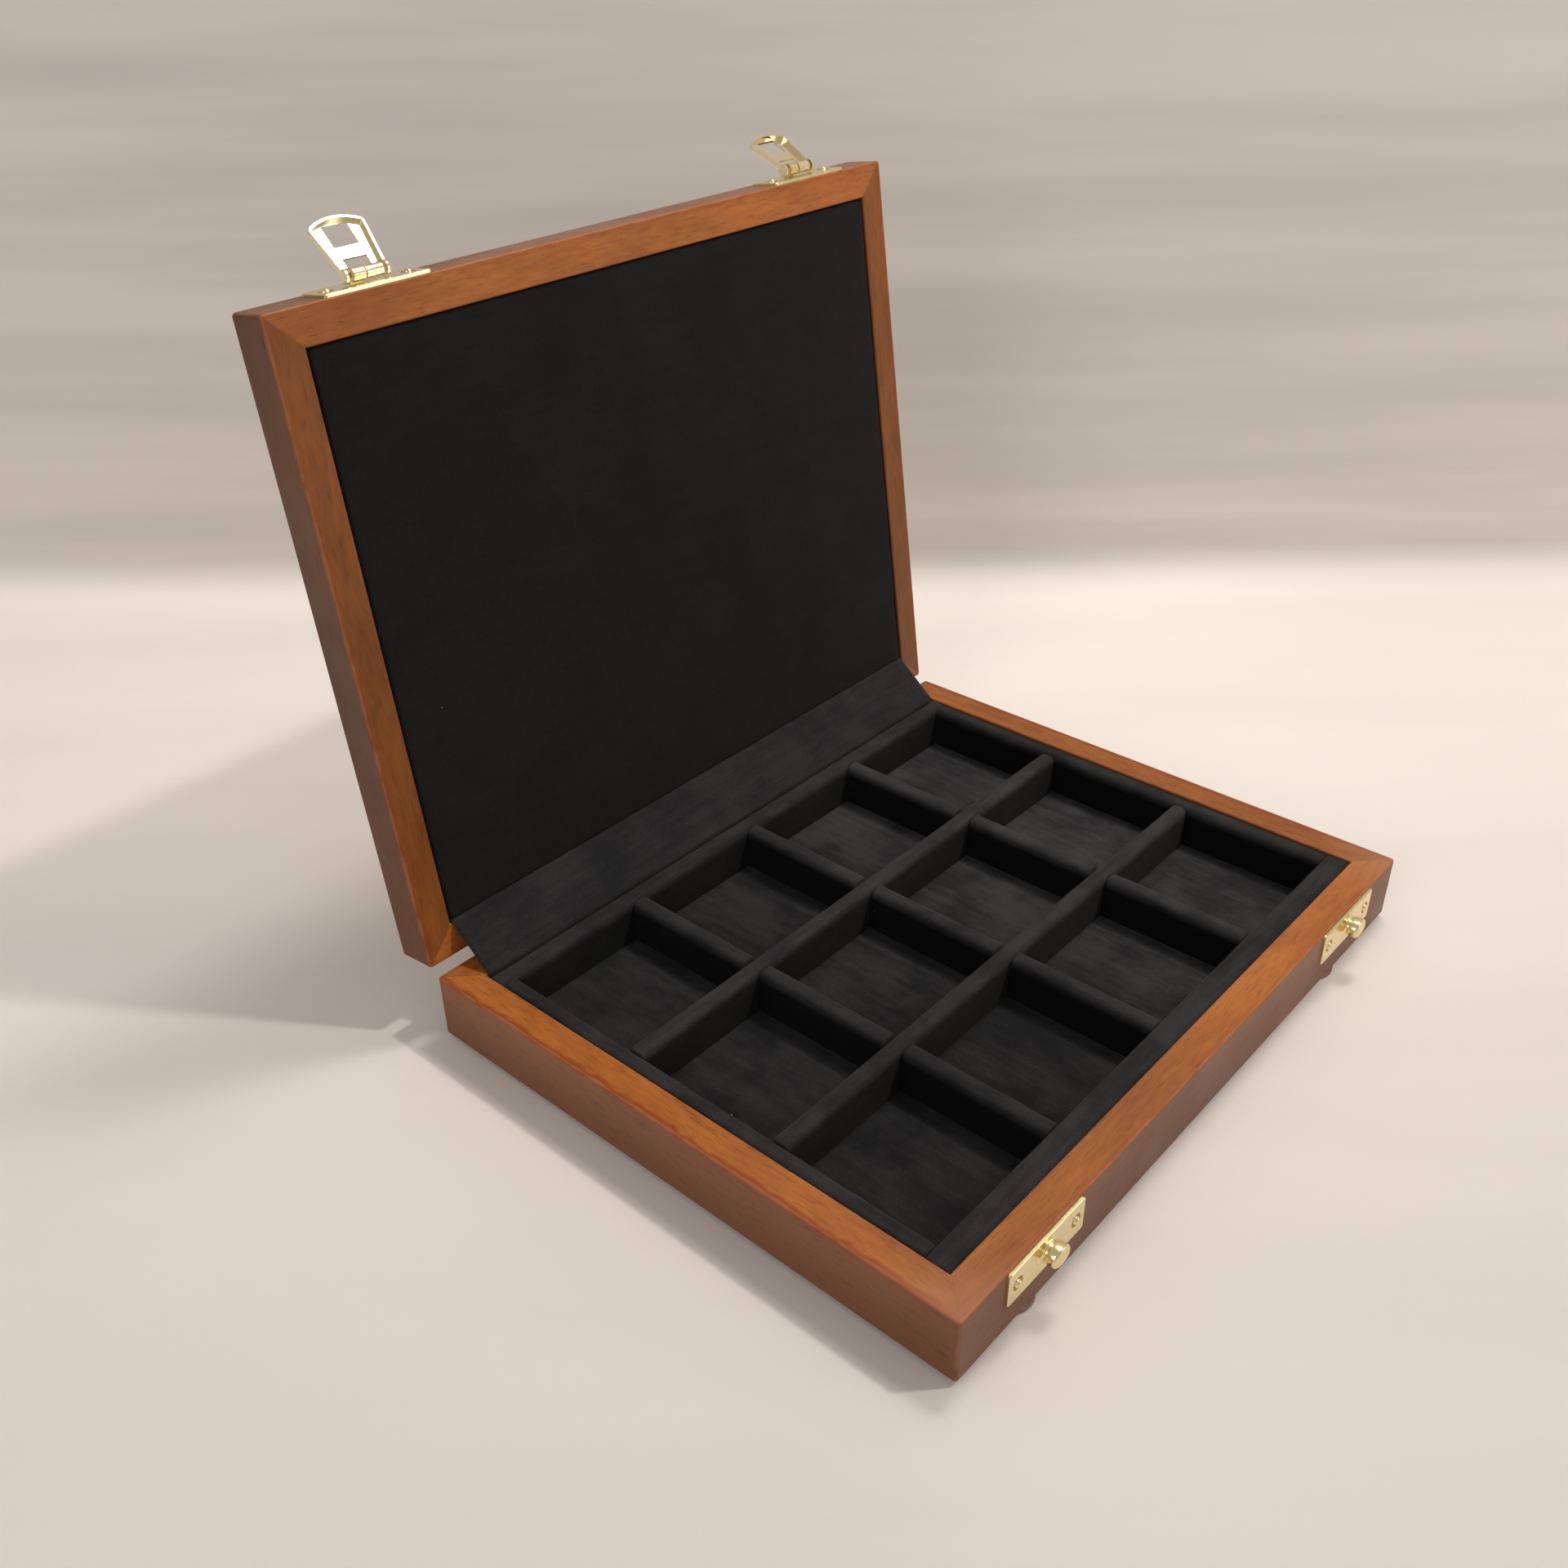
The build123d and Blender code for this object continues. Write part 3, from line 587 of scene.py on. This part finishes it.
def brass_finish(name, colours, roughness, dishes=None, painted_glint=0.0):
    """Pale polished brass with fine rolling scratches and faint finger marks. Dishes gives the place of the
    nail dishes of one kind of plate, which are drawn darker for grime and painted shade: half the distance
    between two plates, half the distance between a plate's nails, their level with the lid shut, and whether
    they are on the lid."""
    material, tree, shader, place = new_finish(name)
    scratch = noise(tree, stretched(tree, place, (0.08, 1.0, 1.0)), scale=2600.0, roughness=0.7)
    marks = noise(tree, place, scale=130.0, roughness=0.6)
    tarnished = fade(tree, marks, start=0.45, end=0.75, high=0.25)
    surface = blended(tree, tarnished, colour(colours.brass), colour(colours.tarnish))
    # Painted highlight: the hasps' brass is mixed towards near white, for the bright lamp they mirror.
    surface = blended(tree, painted_glint, surface, colour(colours.painted_glint_colour))
    if dishes:
        plate_place, nail_place, level, on_lid = dishes
        axes = add_node(tree, "SeparateXYZ", {"Vector": shut_place(tree, place) if on_lid else place})
        from_plate = calc(tree, "SUBTRACT", calc(tree, "ABSOLUTE", axes.outputs[0]), plate_place)
        aside = calc(tree, "SUBTRACT", calc(tree, "ABSOLUTE", from_plate), nail_place)
        above = calc(tree, "SUBTRACT", axes.outputs[2], level)
        away = calc(tree, "SQRT", calc(tree, "ADD", calc(tree, "MULTIPLY", aside, aside),
                                       calc(tree, "MULTIPLY", above, above)))
        # Grime and painted shade: the nail dishes are drawn dark olive, partly for grime and partly for the
        # shade and dark reflection in their hollows.
        dirt_and_shade = fade(tree, away, start=1.9 * millimetre, end=2.4 * millimetre, low=0.9, high=0.0)
        surface = blended(tree, dirt_and_shade, surface, colour(colours.dish_dirt_and_shade))
    gloss = fade(tree, marks, start=0.35, end=0.7, low=roughness, high=roughness + 0.1)
    gloss = calc(tree, "ADD", gloss, calc(tree, "MULTIPLY", scratch, 0.04))
    normal = relief(tree, scratch, strength=0.05, distance=0.02 * millimetre)
    feed(tree, shader, {"Base Color": surface, "Roughness": gloss, "Normal": normal, "Metallic": 1.0})
    return material


def pad_finish(name, base, grain):
    """A matt soft material with open pores of one size."""
    material, tree, shader, place = new_finish(name)
    pores = noise(tree, place, grain, roughness=0.6)
    surface = shaded(tree, colour(base), fade(tree, pores, start=0.3, end=0.7, low=0.6, high=1.15))
    normal = relief(tree, pores, strength=0.6, distance=0.3 * millimetre)
    feed(tree, shader, {"Base Color": surface, "Roughness": 0.9, "Normal": normal})
    return material


def finish_nodes(names, material):
    """Gives one material to every slot of the named CAD nodes."""
    for name in names:
        slots = frame["nodes"][name].material_slots
        if not slots:
            frame["nodes"][name].data.materials.append(material)
        for place in slots:
            place.material = material


# Operators, one for each piece or group of like pieces

class CASE_OT_wood(Operator):
    """Stain the rails and panels"""
    bl_idname = "coin_case.wood"
    bl_label = "Stain the wood"

    def execute(self, context):
        colours = context.scene.coin_case_colours
        # Body, its two rails, the axis of their grain, tone and depth
        kinds = (("base", ("front", "rear"), 0, 0.0, 0.12),
                 ("base", ("left", "right"), 1, 0.31, 0.14),
                 ("lid", ("front", "rear"), 0, 0.57, 0.1),
                 ("lid", ("left", "right"), 1, 0.83, 0.44))
        for body, sides, lengthwise, tone, depth in kinds:
            name = f"{body} {sides[0]} and {sides[1]} rails"
            material = wood_finish(name, colours, lengthwise, body == "lid", tone, depth)
            finish_nodes([f"{body}_{side}_rail" for side in sides], material)
        for node, on_lid, tone in (("base_bottom_panel", False, 1.3), ("lid_top_panel", True, 1.9)):
            material = wood_finish(node.replace("_", " "), colours, 0, on_lid, tone, depth=0.1, mitred=False)
            finish_nodes([node], material)
        return {"FINISHED"}


class CASE_OT_brass(Operator):
    """Polish the hinges, plates, hasps and nails"""
    bl_idname = "coin_case.brass"
    bl_label = "Polish the brass"

    def execute(self, context):
        colours = context.scene.coin_case_colours
        plate_nail_place = 13.3 * millimetre
        leaf_nail_place = 8.0 * millimetre
        leaf_nail_drop = 6.0 * millimetre
        plates = (("catch_plate", "catch plates", plate_nail_place, False),
                  ("latch_plate", "latch plates", plate_nail_place, True),
                  ("hinge_base_leaf", "base leaves of the hinges", leaf_nail_place, False),
                  ("hinge_lid_leaf", "lid leaves of the hinges", leaf_nail_place, True))
        for kind, plural, nail_place, on_lid in plates:
            right = f"right_{kind}"
            low, high = shut_box(right) if on_lid else node_box(right)
            level = float(low[2] + high[2]) / 2
            if "leaf" in kind:
                level = float(hinge_axis[2]) + (leaf_nail_drop if on_lid else -leaf_nail_drop)
            dishes = (float(low[0] + high[0]) / 2, nail_place, level, on_lid)
            material = brass_finish(f"{plural}, polished brass", colours, roughness=0.18, dishes=dishes)
            finish_nodes([f"left_{kind}", right], material)
        bright = brass_finish("nails and pins, bright brass", colours, roughness=0.14)
        finish_nodes([name for name in frame["nodes"] if "nails" in name or name.endswith("_pin")], bright)
        # Painted highlight: 40 % near white mixed into the hasps' brass.
        pale = brass_finish("hasps, bright brass with painted glint", colours, roughness=0.12, painted_glint=0.4)
        finish_nodes(["left_hasp", "right_hasp"], pale)
        return {"FINISHED"}


class CASE_OT_feet(Operator):
    """Finish the four pads under the base"""
    bl_idname = "coin_case.feet"
    bl_label = "Finish the pads"

    def execute(self, context):
        colours = context.scene.coin_case_colours
        material = pad_finish("pads under the base, brown felt", colours.pad, grain=1500.0)
        finish_nodes([name for name in frame["nodes"] if name.endswith("_foot")], material)
        return {"FINISHED"}


class CASE_OT_tray(Operator):
    """Make the tray's floor and the four boards round it"""
    bl_idname = "coin_case.tray"
    bl_label = "Make the tray"

    def execute(self, context):
        sizes = context.scene.coin_case_sizes
        colours = context.scene.coin_case_colours
        first_seed = 11
        top_level = float(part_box("tray_front_border")[1][2])
        # Painted light and shade: the negative depths draw the tray's floor and borders lighter, as they are
        # lit from above, sides=(level, share) draws the borders' sides darker below their tops, and the
        # floor's last argument paints it lighter to the right and darker to the front.
        floor_velour = velour_finish("tray floor", colours, 1, patchiness=0.42, depth=-0.15, painted_light_share=0.9)
        long_velour = velour_finish("front and rear borders", colours, 0, patchiness=0.35, depth=-0.4,
                                    sides=(top_level, 0.3))
        short_velour = velour_finish("left and right borders", colours, 1, patchiness=0.35, depth=-0.4,
                                     sides=(top_level, 0.1))
        boards = (("tray_floor", 0, floor_velour), ("tray_front_border", 0, long_velour),
                  ("tray_rear_border", 0, long_velour), ("tray_left_border", 1, short_velour),
                  ("tray_right_border", 1, short_velour))
        for seed, (node, along, velour) in enumerate(boards, first_seed):
            low, high = node_box(node)
            board = wrapped_board(f"velour_{node}", low, high, along, sizes, seed)
            board.data.materials.append(velour)
            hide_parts(node)
        return {"FINISHED"}


class CASE_OT_dividers(Operator):
    """Make the two long and three short dividers, which cross with half laps"""
    bl_idname = "coin_case.dividers"
    bl_label = "Make the dividers"

    def execute(self, context):
        sizes = context.scene.coin_case_sizes
        colours = context.scene.coin_case_colours
        first_seed = 31
        play = 0.1 * millimetre
        long_names = ("long_divider_front", "long_divider_rear")
        short_names = ("short_divider_left", "short_divider_middle", "short_divider_right")
        boxes = {name: node_box(name) for name in long_names + short_names}
        low, high = boxes[long_names[0]]
        half = (high[1] - low[1]) / 2
        floor_level = float(low[2])
        top_level = float(high[2])
        lap = (floor_level + top_level) / 2
        rounding = sizes.lap_rounding
        # Painted light and shade: the negative depths draw the dividers lighter, as their tops are lit from
        # above, sides=(level, share) draws their sides darker below the tops, and the last argument paints
        # them lighter to the right.
        long_velour = velour_finish("long dividers", colours, 0, patchiness=0.35, depth=-0.55,
                                    sides=(top_level, 0.25), painted_light_share=0.3)
        short_velour = velour_finish("short dividers", colours, 1, patchiness=0.35, depth=-0.55,
                                     sides=(top_level, 0.08), painted_light_share=0.4)

        def lapped(places, crossings, from_level, to_level):
            """A level that goes to the lap within half a board of each crossing and is steep at its edge."""
            gap = np.abs(places[:, None] - np.asarray(crossings)[None, :]).min(axis=1)
            share = 1.0 - smooth_step(half + play, half + rounding, gap)
            return from_level + (to_level - from_level) * share ** 3

        def near(crossings):
            """Stations close together where a lap begins and ends."""
            offsets = np.linspace(half - 4.0 * play, half + 1.3 * rounding, 22)
            return np.concatenate([[place - offsets, place + offsets] for place in crossings]).ravel()

        rows = [(boxes[name][0][1] + boxes[name][1][1]) / 2 for name in long_names]
        columns = [(boxes[name][0][0] + boxes[name][1][0]) / 2 for name in short_names]
        for seed, name in enumerate(long_names + short_names, first_seed):
            low, high = boxes[name]
            if name in long_names:
                board = wrapped_board(
                    f"velour_{name}", low, high, 0, sizes, seed,
                    bottom=lambda places: lapped(places, columns, floor_level, lap), extra=near(columns))
            else:
                board = wrapped_board(
                    f"velour_{name}", low, high, 1, sizes, seed,
                    top=lambda places: lapped(places, rows, top_level, lap - play), extra=near(rows))
            board.data.materials.append(long_velour if name in long_names else short_velour)
            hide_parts(name)
        return {"FINISHED"}


class CASE_OT_lining(Operator):
    """Make the padded lining of the lid and the foam behind it"""
    bl_idname = "coin_case.lining"
    bl_label = "Make the lid's lining"

    def execute(self, context):
        sizes = context.scene.coin_case_sizes
        colours = context.scene.coin_case_colours
        low, high = shut_box("lid_lining_board")
        lining = padded_slab("lid_lining", low, high, sizes.lining_corner, sizes.lining_edge,
                             sizes.lining_crown, seed=51, unevenness=2.0 * sizes.pile_unevenness)
        # Painted shade: depth 0.45 draws the lining darker, as it faces the front and gets less light than
        # the tray.
        velour = velour_finish("lid lining", colours, 0, patchiness=0.15, depth=0.45, on_lid=True)
        lining.data.materials.append(velour)
        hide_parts("lid_lining_board")
        low, high = shut_box("lid_foam_pad")
        foam = padded_slab("lid_foam", low, high, corner=4.0 * millimetre, edge=1.0 * millimetre, crown=0.0,
                           seed=52, unevenness=0.1 * millimetre)
        open_cells = pad_finish("foam behind the lining, open cells", colours.foam, grain=900.0)
        foam.data.materials.append(open_cells)
        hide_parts("lid_foam_pad")
        return {"FINISHED"}


class CASE_OT_hinge_strip(Operator):
    """Make the velour strip that covers the gap at the hinges"""
    bl_idname = "coin_case.hinge_strip"
    bl_label = "Make the hinge strip"

    def execute(self, context):
        sizes = context.scene.coin_case_sizes
        low, high = node_box("hinge_cover_strip")
        thickness = 0.5 * millimetre
        wave_length = 30.0 * millimetre
        shortest_run = 1e-9
        centre_y = low[1] + thickness / 2
        foot = low[2]
        base_rim = np.array([0.0, centre_y, rim_level])
        lid_rim = np.array([0.0, centre_y, lid_rim_level])
        tuck = rim_level - foot
        lid_points = opened(np.stack([lid_rim, lid_rim + (0.0, 0.0, tuck)]))
        bend = sizes.strip_bend
        corners = [np.array([centre_y, foot]), base_rim[1:], lid_points[0, 1:], lid_points[1, 1:]]
        path = [corners[0]]
        for before, corner, after in zip(corners, corners[1:], corners[2:]):
            back = (before - corner) / np.linalg.norm(before - corner)
            ahead = (after - corner) / np.linalg.norm(after - corner)
            path += [corner + back * bend, corner, corner + ahead * bend]
        path = softened(np.array(path + [corners[3]]), rounds=3)
        path = np.concatenate([np.linspace(start, end, 6)[:-1] for start, end in zip(path, path[1:])
                               if np.linalg.norm(end - start) > shortest_run] + [path[-1:]])
        along = np.gradient(path, axis=0)
        along /= np.linalg.norm(along, axis=1)[:, None]
        across = np.stack([-along[:, 1], along[:, 0]], axis=1) * thickness / 2
        outline = np.concatenate([path + across, (path - across)[::-1]])
        places = np.linspace(low[0], high[0], 140)
        rings = np.empty((len(places), len(outline), 3))
        rings[..., 0] = places[:, None]
        rings[..., 1:] = outline[None]
        rings = wandering(rings, 1.2 * sizes.pile_unevenness, wave_length, seed=61)
        strip = shell("hinge_strip", rings)
        colours = context.scene.coin_case_colours
        # Painted light: depth -0.15 draws the strip a little lighter.
        strip.data.materials.append(velour_finish("hinge strip", colours, 0, patchiness=0.3, depth=-0.15))
        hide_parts("hinge_cover_strip")
        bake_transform(strip)
        return {"FINISHED"}


class CASE_OT_knobs(Operator):
    """Turn the two waisted knobs that the hasps drop over"""
    bl_idname = "coin_case.knobs"
    bl_label = "Turn the knobs"

    def execute(self, context):
        brass = brass_finish("knobs, bright brass", context.scene.coin_case_colours, roughness=0.15)
        # Distance out from the rail's face, half width and half height, in millimetres: the spigot in the
        # rail, the oval flare on the plate, the waist and the head
        spigot = [[-4.0, 1.0, 1.0], [-4.0, 1.2, 1.2], [0.9, 1.2, 1.2]]
        flare = [[0.9, 5.5, 4.0], [0.95, 5.4, 3.9], [1.1, 4.3, 3.4], [1.5, 3.5, 2.8]]
        waist = [[2.1, 3.3, 2.6], [2.3, 3.5, 2.8], [2.5, 3.8, 3.05]]
        head = [[2.85, 3.95, 3.2], [4.5, 3.95, 3.2], [5.0, 3.8, 3.05], [5.4, 3.3, 2.6], [5.7, 2.0, 1.5],
                [5.8, 0.1, 0.1]]
        profile = softened(np.array(spigot + flare + waist + head) * millimetre, rounds=2)
        around = 48
        turn = np.linspace(0.0, 2.0 * math.pi, around + 1)[:-1]
        for side in ("left", "right"):
            node = f"{side}_catch_knob"
            low, high = node_box(node)
            middle = (low + high) / 2
            rings = np.empty((len(profile), around, 3))
            rings[..., 0] = middle[0] + profile[:, 1:2] * np.cos(turn)
            rings[..., 1] = -case_half_depth - profile[:, :1]
            rings[..., 2] = middle[2] + profile[:, 2:3] * np.sin(turn)
            knob = shell(f"{side}_knob", rings, "base")
            knob.data.materials.append(brass)
            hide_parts(node)
        return {"FINISHED"}


class CASE_OT_stage(Operator):
    """Set the floor, wall, lamps and camera"""
    bl_idname = "coin_case.stage"
    bl_label = "Set the stage"

    def execute(self, context):
        stage = context.scene.coin_case_stage
        scene = context.scene
        heading = math.radians(48.66)
        tilt_down = math.radians(57.69)
        roll = math.radians(0.84)
        camera_place = np.array([-0.3296, -0.2295, 0.3254])
        ahead = np.array([math.sin(heading), math.cos(heading), 0.0])
        right = np.array([math.cos(heading), -math.sin(heading), 0.0])
        upwards = np.array([0.0, 0.0, 1.0])
        floor_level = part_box("front_left_foot")[0][2]
        start = camera_place * (1.0, 1.0, 0.0) + floor_level * upwards
        floor_reach = 2.2
        wall_height = 1.6
        half_span = 2.4
        curve = 0.02
        foot = stage.wall_distance
        arc = np.linspace(0.0, math.pi / 2, 12)
        profile = np.concatenate([
            np.stack([np.linspace(-floor_reach, foot - curve, 40), np.zeros(40)], axis=1),
            np.stack([foot - curve + curve * np.sin(arc), curve - curve * np.cos(arc)], axis=1)[1:],
            np.stack([np.full(20, foot), np.linspace(curve, wall_height, 20)], axis=1)[1:]])
        across = np.linspace(-half_span, half_span, 41)
        points = (start + across[None, :, None] * right + profile[:, :1, None] * ahead
                  + profile[:, 1:, None] * upwards)
        count = len(across)
        row = np.arange(len(profile) - 1)[:, None] * count
        here = np.arange(count - 1)[None, :]
        quads = np.stack([row + here, row + here + 1, row + count + here + 1, row + count + here], axis=-1)
        mesh = bpy.data.meshes.new("floor and wall")
        mesh.from_pydata(points.reshape(-1, 3).tolist(), [], quads.reshape(-1, 4).tolist())
        mesh.polygons.foreach_set("use_smooth", np.ones(len(mesh.polygons), bool))
        sweep = bpy.data.objects.new("floor_and_wall", mesh)
        scene.collection.objects.link(sweep)

        material, tree, shader, place = new_finish("floor and wall, pale paint")
        turned_place = stretched(tree, place, (1.0, 1.0, 1.0), turn=(0.0, 0.0, heading))
        axes = add_node(tree, "SeparateXYZ", {"Vector": turned_place})
        up = calc(tree, "SUBTRACT", axes.outputs[2], floor_level)
        wall_share = fade(tree, up, start=0.1 * curve, end=0.8 * curve)
        streaks = noise(tree, stretched(tree, turned_place, (1.0, 6.0, 14.0)), scale=2.6)
        # Painted light: the floor is drawn darker towards the camera and to the right, and lighter towards
        # the wall, as the lamps light it unevenly.
        away = fade(tree, axes.outputs[1], start=-0.22, end=0.22)
        floor_colour = blended(tree, away, colour(stage.floor, 0.84), colour(stage.floor, 1.12))
        streaked = fade(tree, streaks, start=0.35, end=0.7, low=1.02, high=0.97)
        painted_light_across = fade(tree, axes.outputs[0], start=0.0, end=0.3, low=1.0, high=0.88)
        floor_colour = shaded(tree, floor_colour, calc(tree, "MULTIPLY", streaked, painted_light_across))
        cloudy = fade(tree, streaks, start=0.3, end=0.72)
        wall_colour = blended(tree, cloudy, colour(stage.wall, 1.06), colour(stage.wall, 0.90))
        surface = blended(tree, wall_share, floor_colour, wall_colour)
        feed(tree, shader, {"Base Color": surface, "Roughness": 0.85, "Specular IOR Level": 0.2})
        mesh.materials.append(material)

        world = bpy.data.worlds.new("soft room light")
        scene.world = world
        world.use_nodes = True
        feed(world.node_tree, world.node_tree.nodes["Background"],
             {"Color": (1.0, 0.985, 0.97, 1.0), "Strength": stage.room_light})

        # Name, power, width, distance from the case, direction and tint
        target = np.array([0.0, 0.02, 0.06])
        lamps = (("ceiling_lamp", stage.ceiling_power, 0.3, 1.1, (0.34, 0.0, 0.94), (1.0, 0.985, 0.965)),
                 ("right_lamp", stage.key_power, 0.09, 1.6, (0.33, -0.455, 0.83), (1.0, 0.95, 0.88)),
                 ("left_lamp", stage.side_power, 0.8, 1.6, (-0.85, -0.08, 0.52), (1.0, 0.97, 0.92)),
                 ("small_lamp", stage.small_power, 0.2, 0.82, (0.361, -0.013, 0.932), (1.0, 0.99, 0.97)),
                 ("low_lamp", stage.low_power, 0.7, 1.6, (0.55, -0.82, 0.16), (1.0, 0.98, 0.95)))
        for name, power, width, distance, towards, tint in lamps:
            lamp = bpy.data.lights.new(name, "AREA")
            lamp.energy = power
            lamp.color = tint
            lamp.shape = "DISK"
            lamp.size = width
            stand = bpy.data.objects.new(name, lamp)
            scene.collection.objects.link(stand)
            stand.location = tuple(target + distance * np.array(towards))
            tilt = math.atan2(math.hypot(towards[0], towards[1]), towards[2])
            stand.rotation_euler = (tilt, 0.0, math.atan2(towards[0], -towards[1]))

        view = bpy.data.cameras.new("camera")
        view.lens = stage.lens
        view.sensor_width = 36.0
        view.clip_start = 0.01
        camera = bpy.data.objects.new("camera", view)
        scene.collection.objects.link(camera)
        camera.location = tuple(camera_place)
        camera.rotation_euler = (tilt_down, roll, -heading)
        scene.camera = camera
        scene.view_settings.view_transform = "Standard"
        return {"FINISHED"}


class CASE_PT_panel(Panel):
    """The steps that dress the coin case, in order"""
    bl_idname = "CASE_PT_panel"
    bl_label = "Coin case"
    bl_space_type = "VIEW_3D"
    bl_region_type = "UI"
    bl_category = "Coin case"

    def draw(self, context):
        column = self.layout.column(align=True)
        for step in steps:
            column.operator(step.bl_idname)
        for settings in (context.scene.coin_case_sizes, context.scene.coin_case_colours,
                         context.scene.coin_case_stage):
            box = self.layout.box()
            for name in settings.__annotations__:
                box.prop(settings, name)


steps = (CASE_OT_wood, CASE_OT_brass, CASE_OT_feet, CASE_OT_tray, CASE_OT_dividers, CASE_OT_lining,
         CASE_OT_hinge_strip, CASE_OT_knobs, CASE_OT_stage)
groups = {"coin_case_sizes": SoftPartSizes, "coin_case_colours": FinishColours,
          "coin_case_stage": StageSettings}


def register():
    """Makes the settings, operators and panel known."""
    for name, group in groups.items():
        bpy.utils.register_class(group)
        setattr(bpy.types.Scene, name, PointerProperty(type=group))
    for cls in steps + (CASE_PT_panel,):
        bpy.utils.register_class(cls)


def unregister():
    """Takes the settings, operators and panel away again."""
    for cls in (CASE_PT_panel,) + steps[::-1]:
        bpy.utils.unregister_class(cls)
    for name, group in groups.items():
        delattr(bpy.types.Scene, name)
        bpy.utils.unregister_class(group)


def main():
    """Dresses the case step by step."""
    register()
    bpy.ops.coin_case.wood()
    bpy.ops.coin_case.brass()
    bpy.ops.coin_case.feet()
    bpy.ops.coin_case.tray()
    bpy.ops.coin_case.dividers()
    bpy.ops.coin_case.lining()
    bpy.ops.coin_case.hinge_strip()
    bpy.ops.coin_case.knobs()
    bpy.ops.coin_case.stage()


if __name__ == "__main__":
    main()
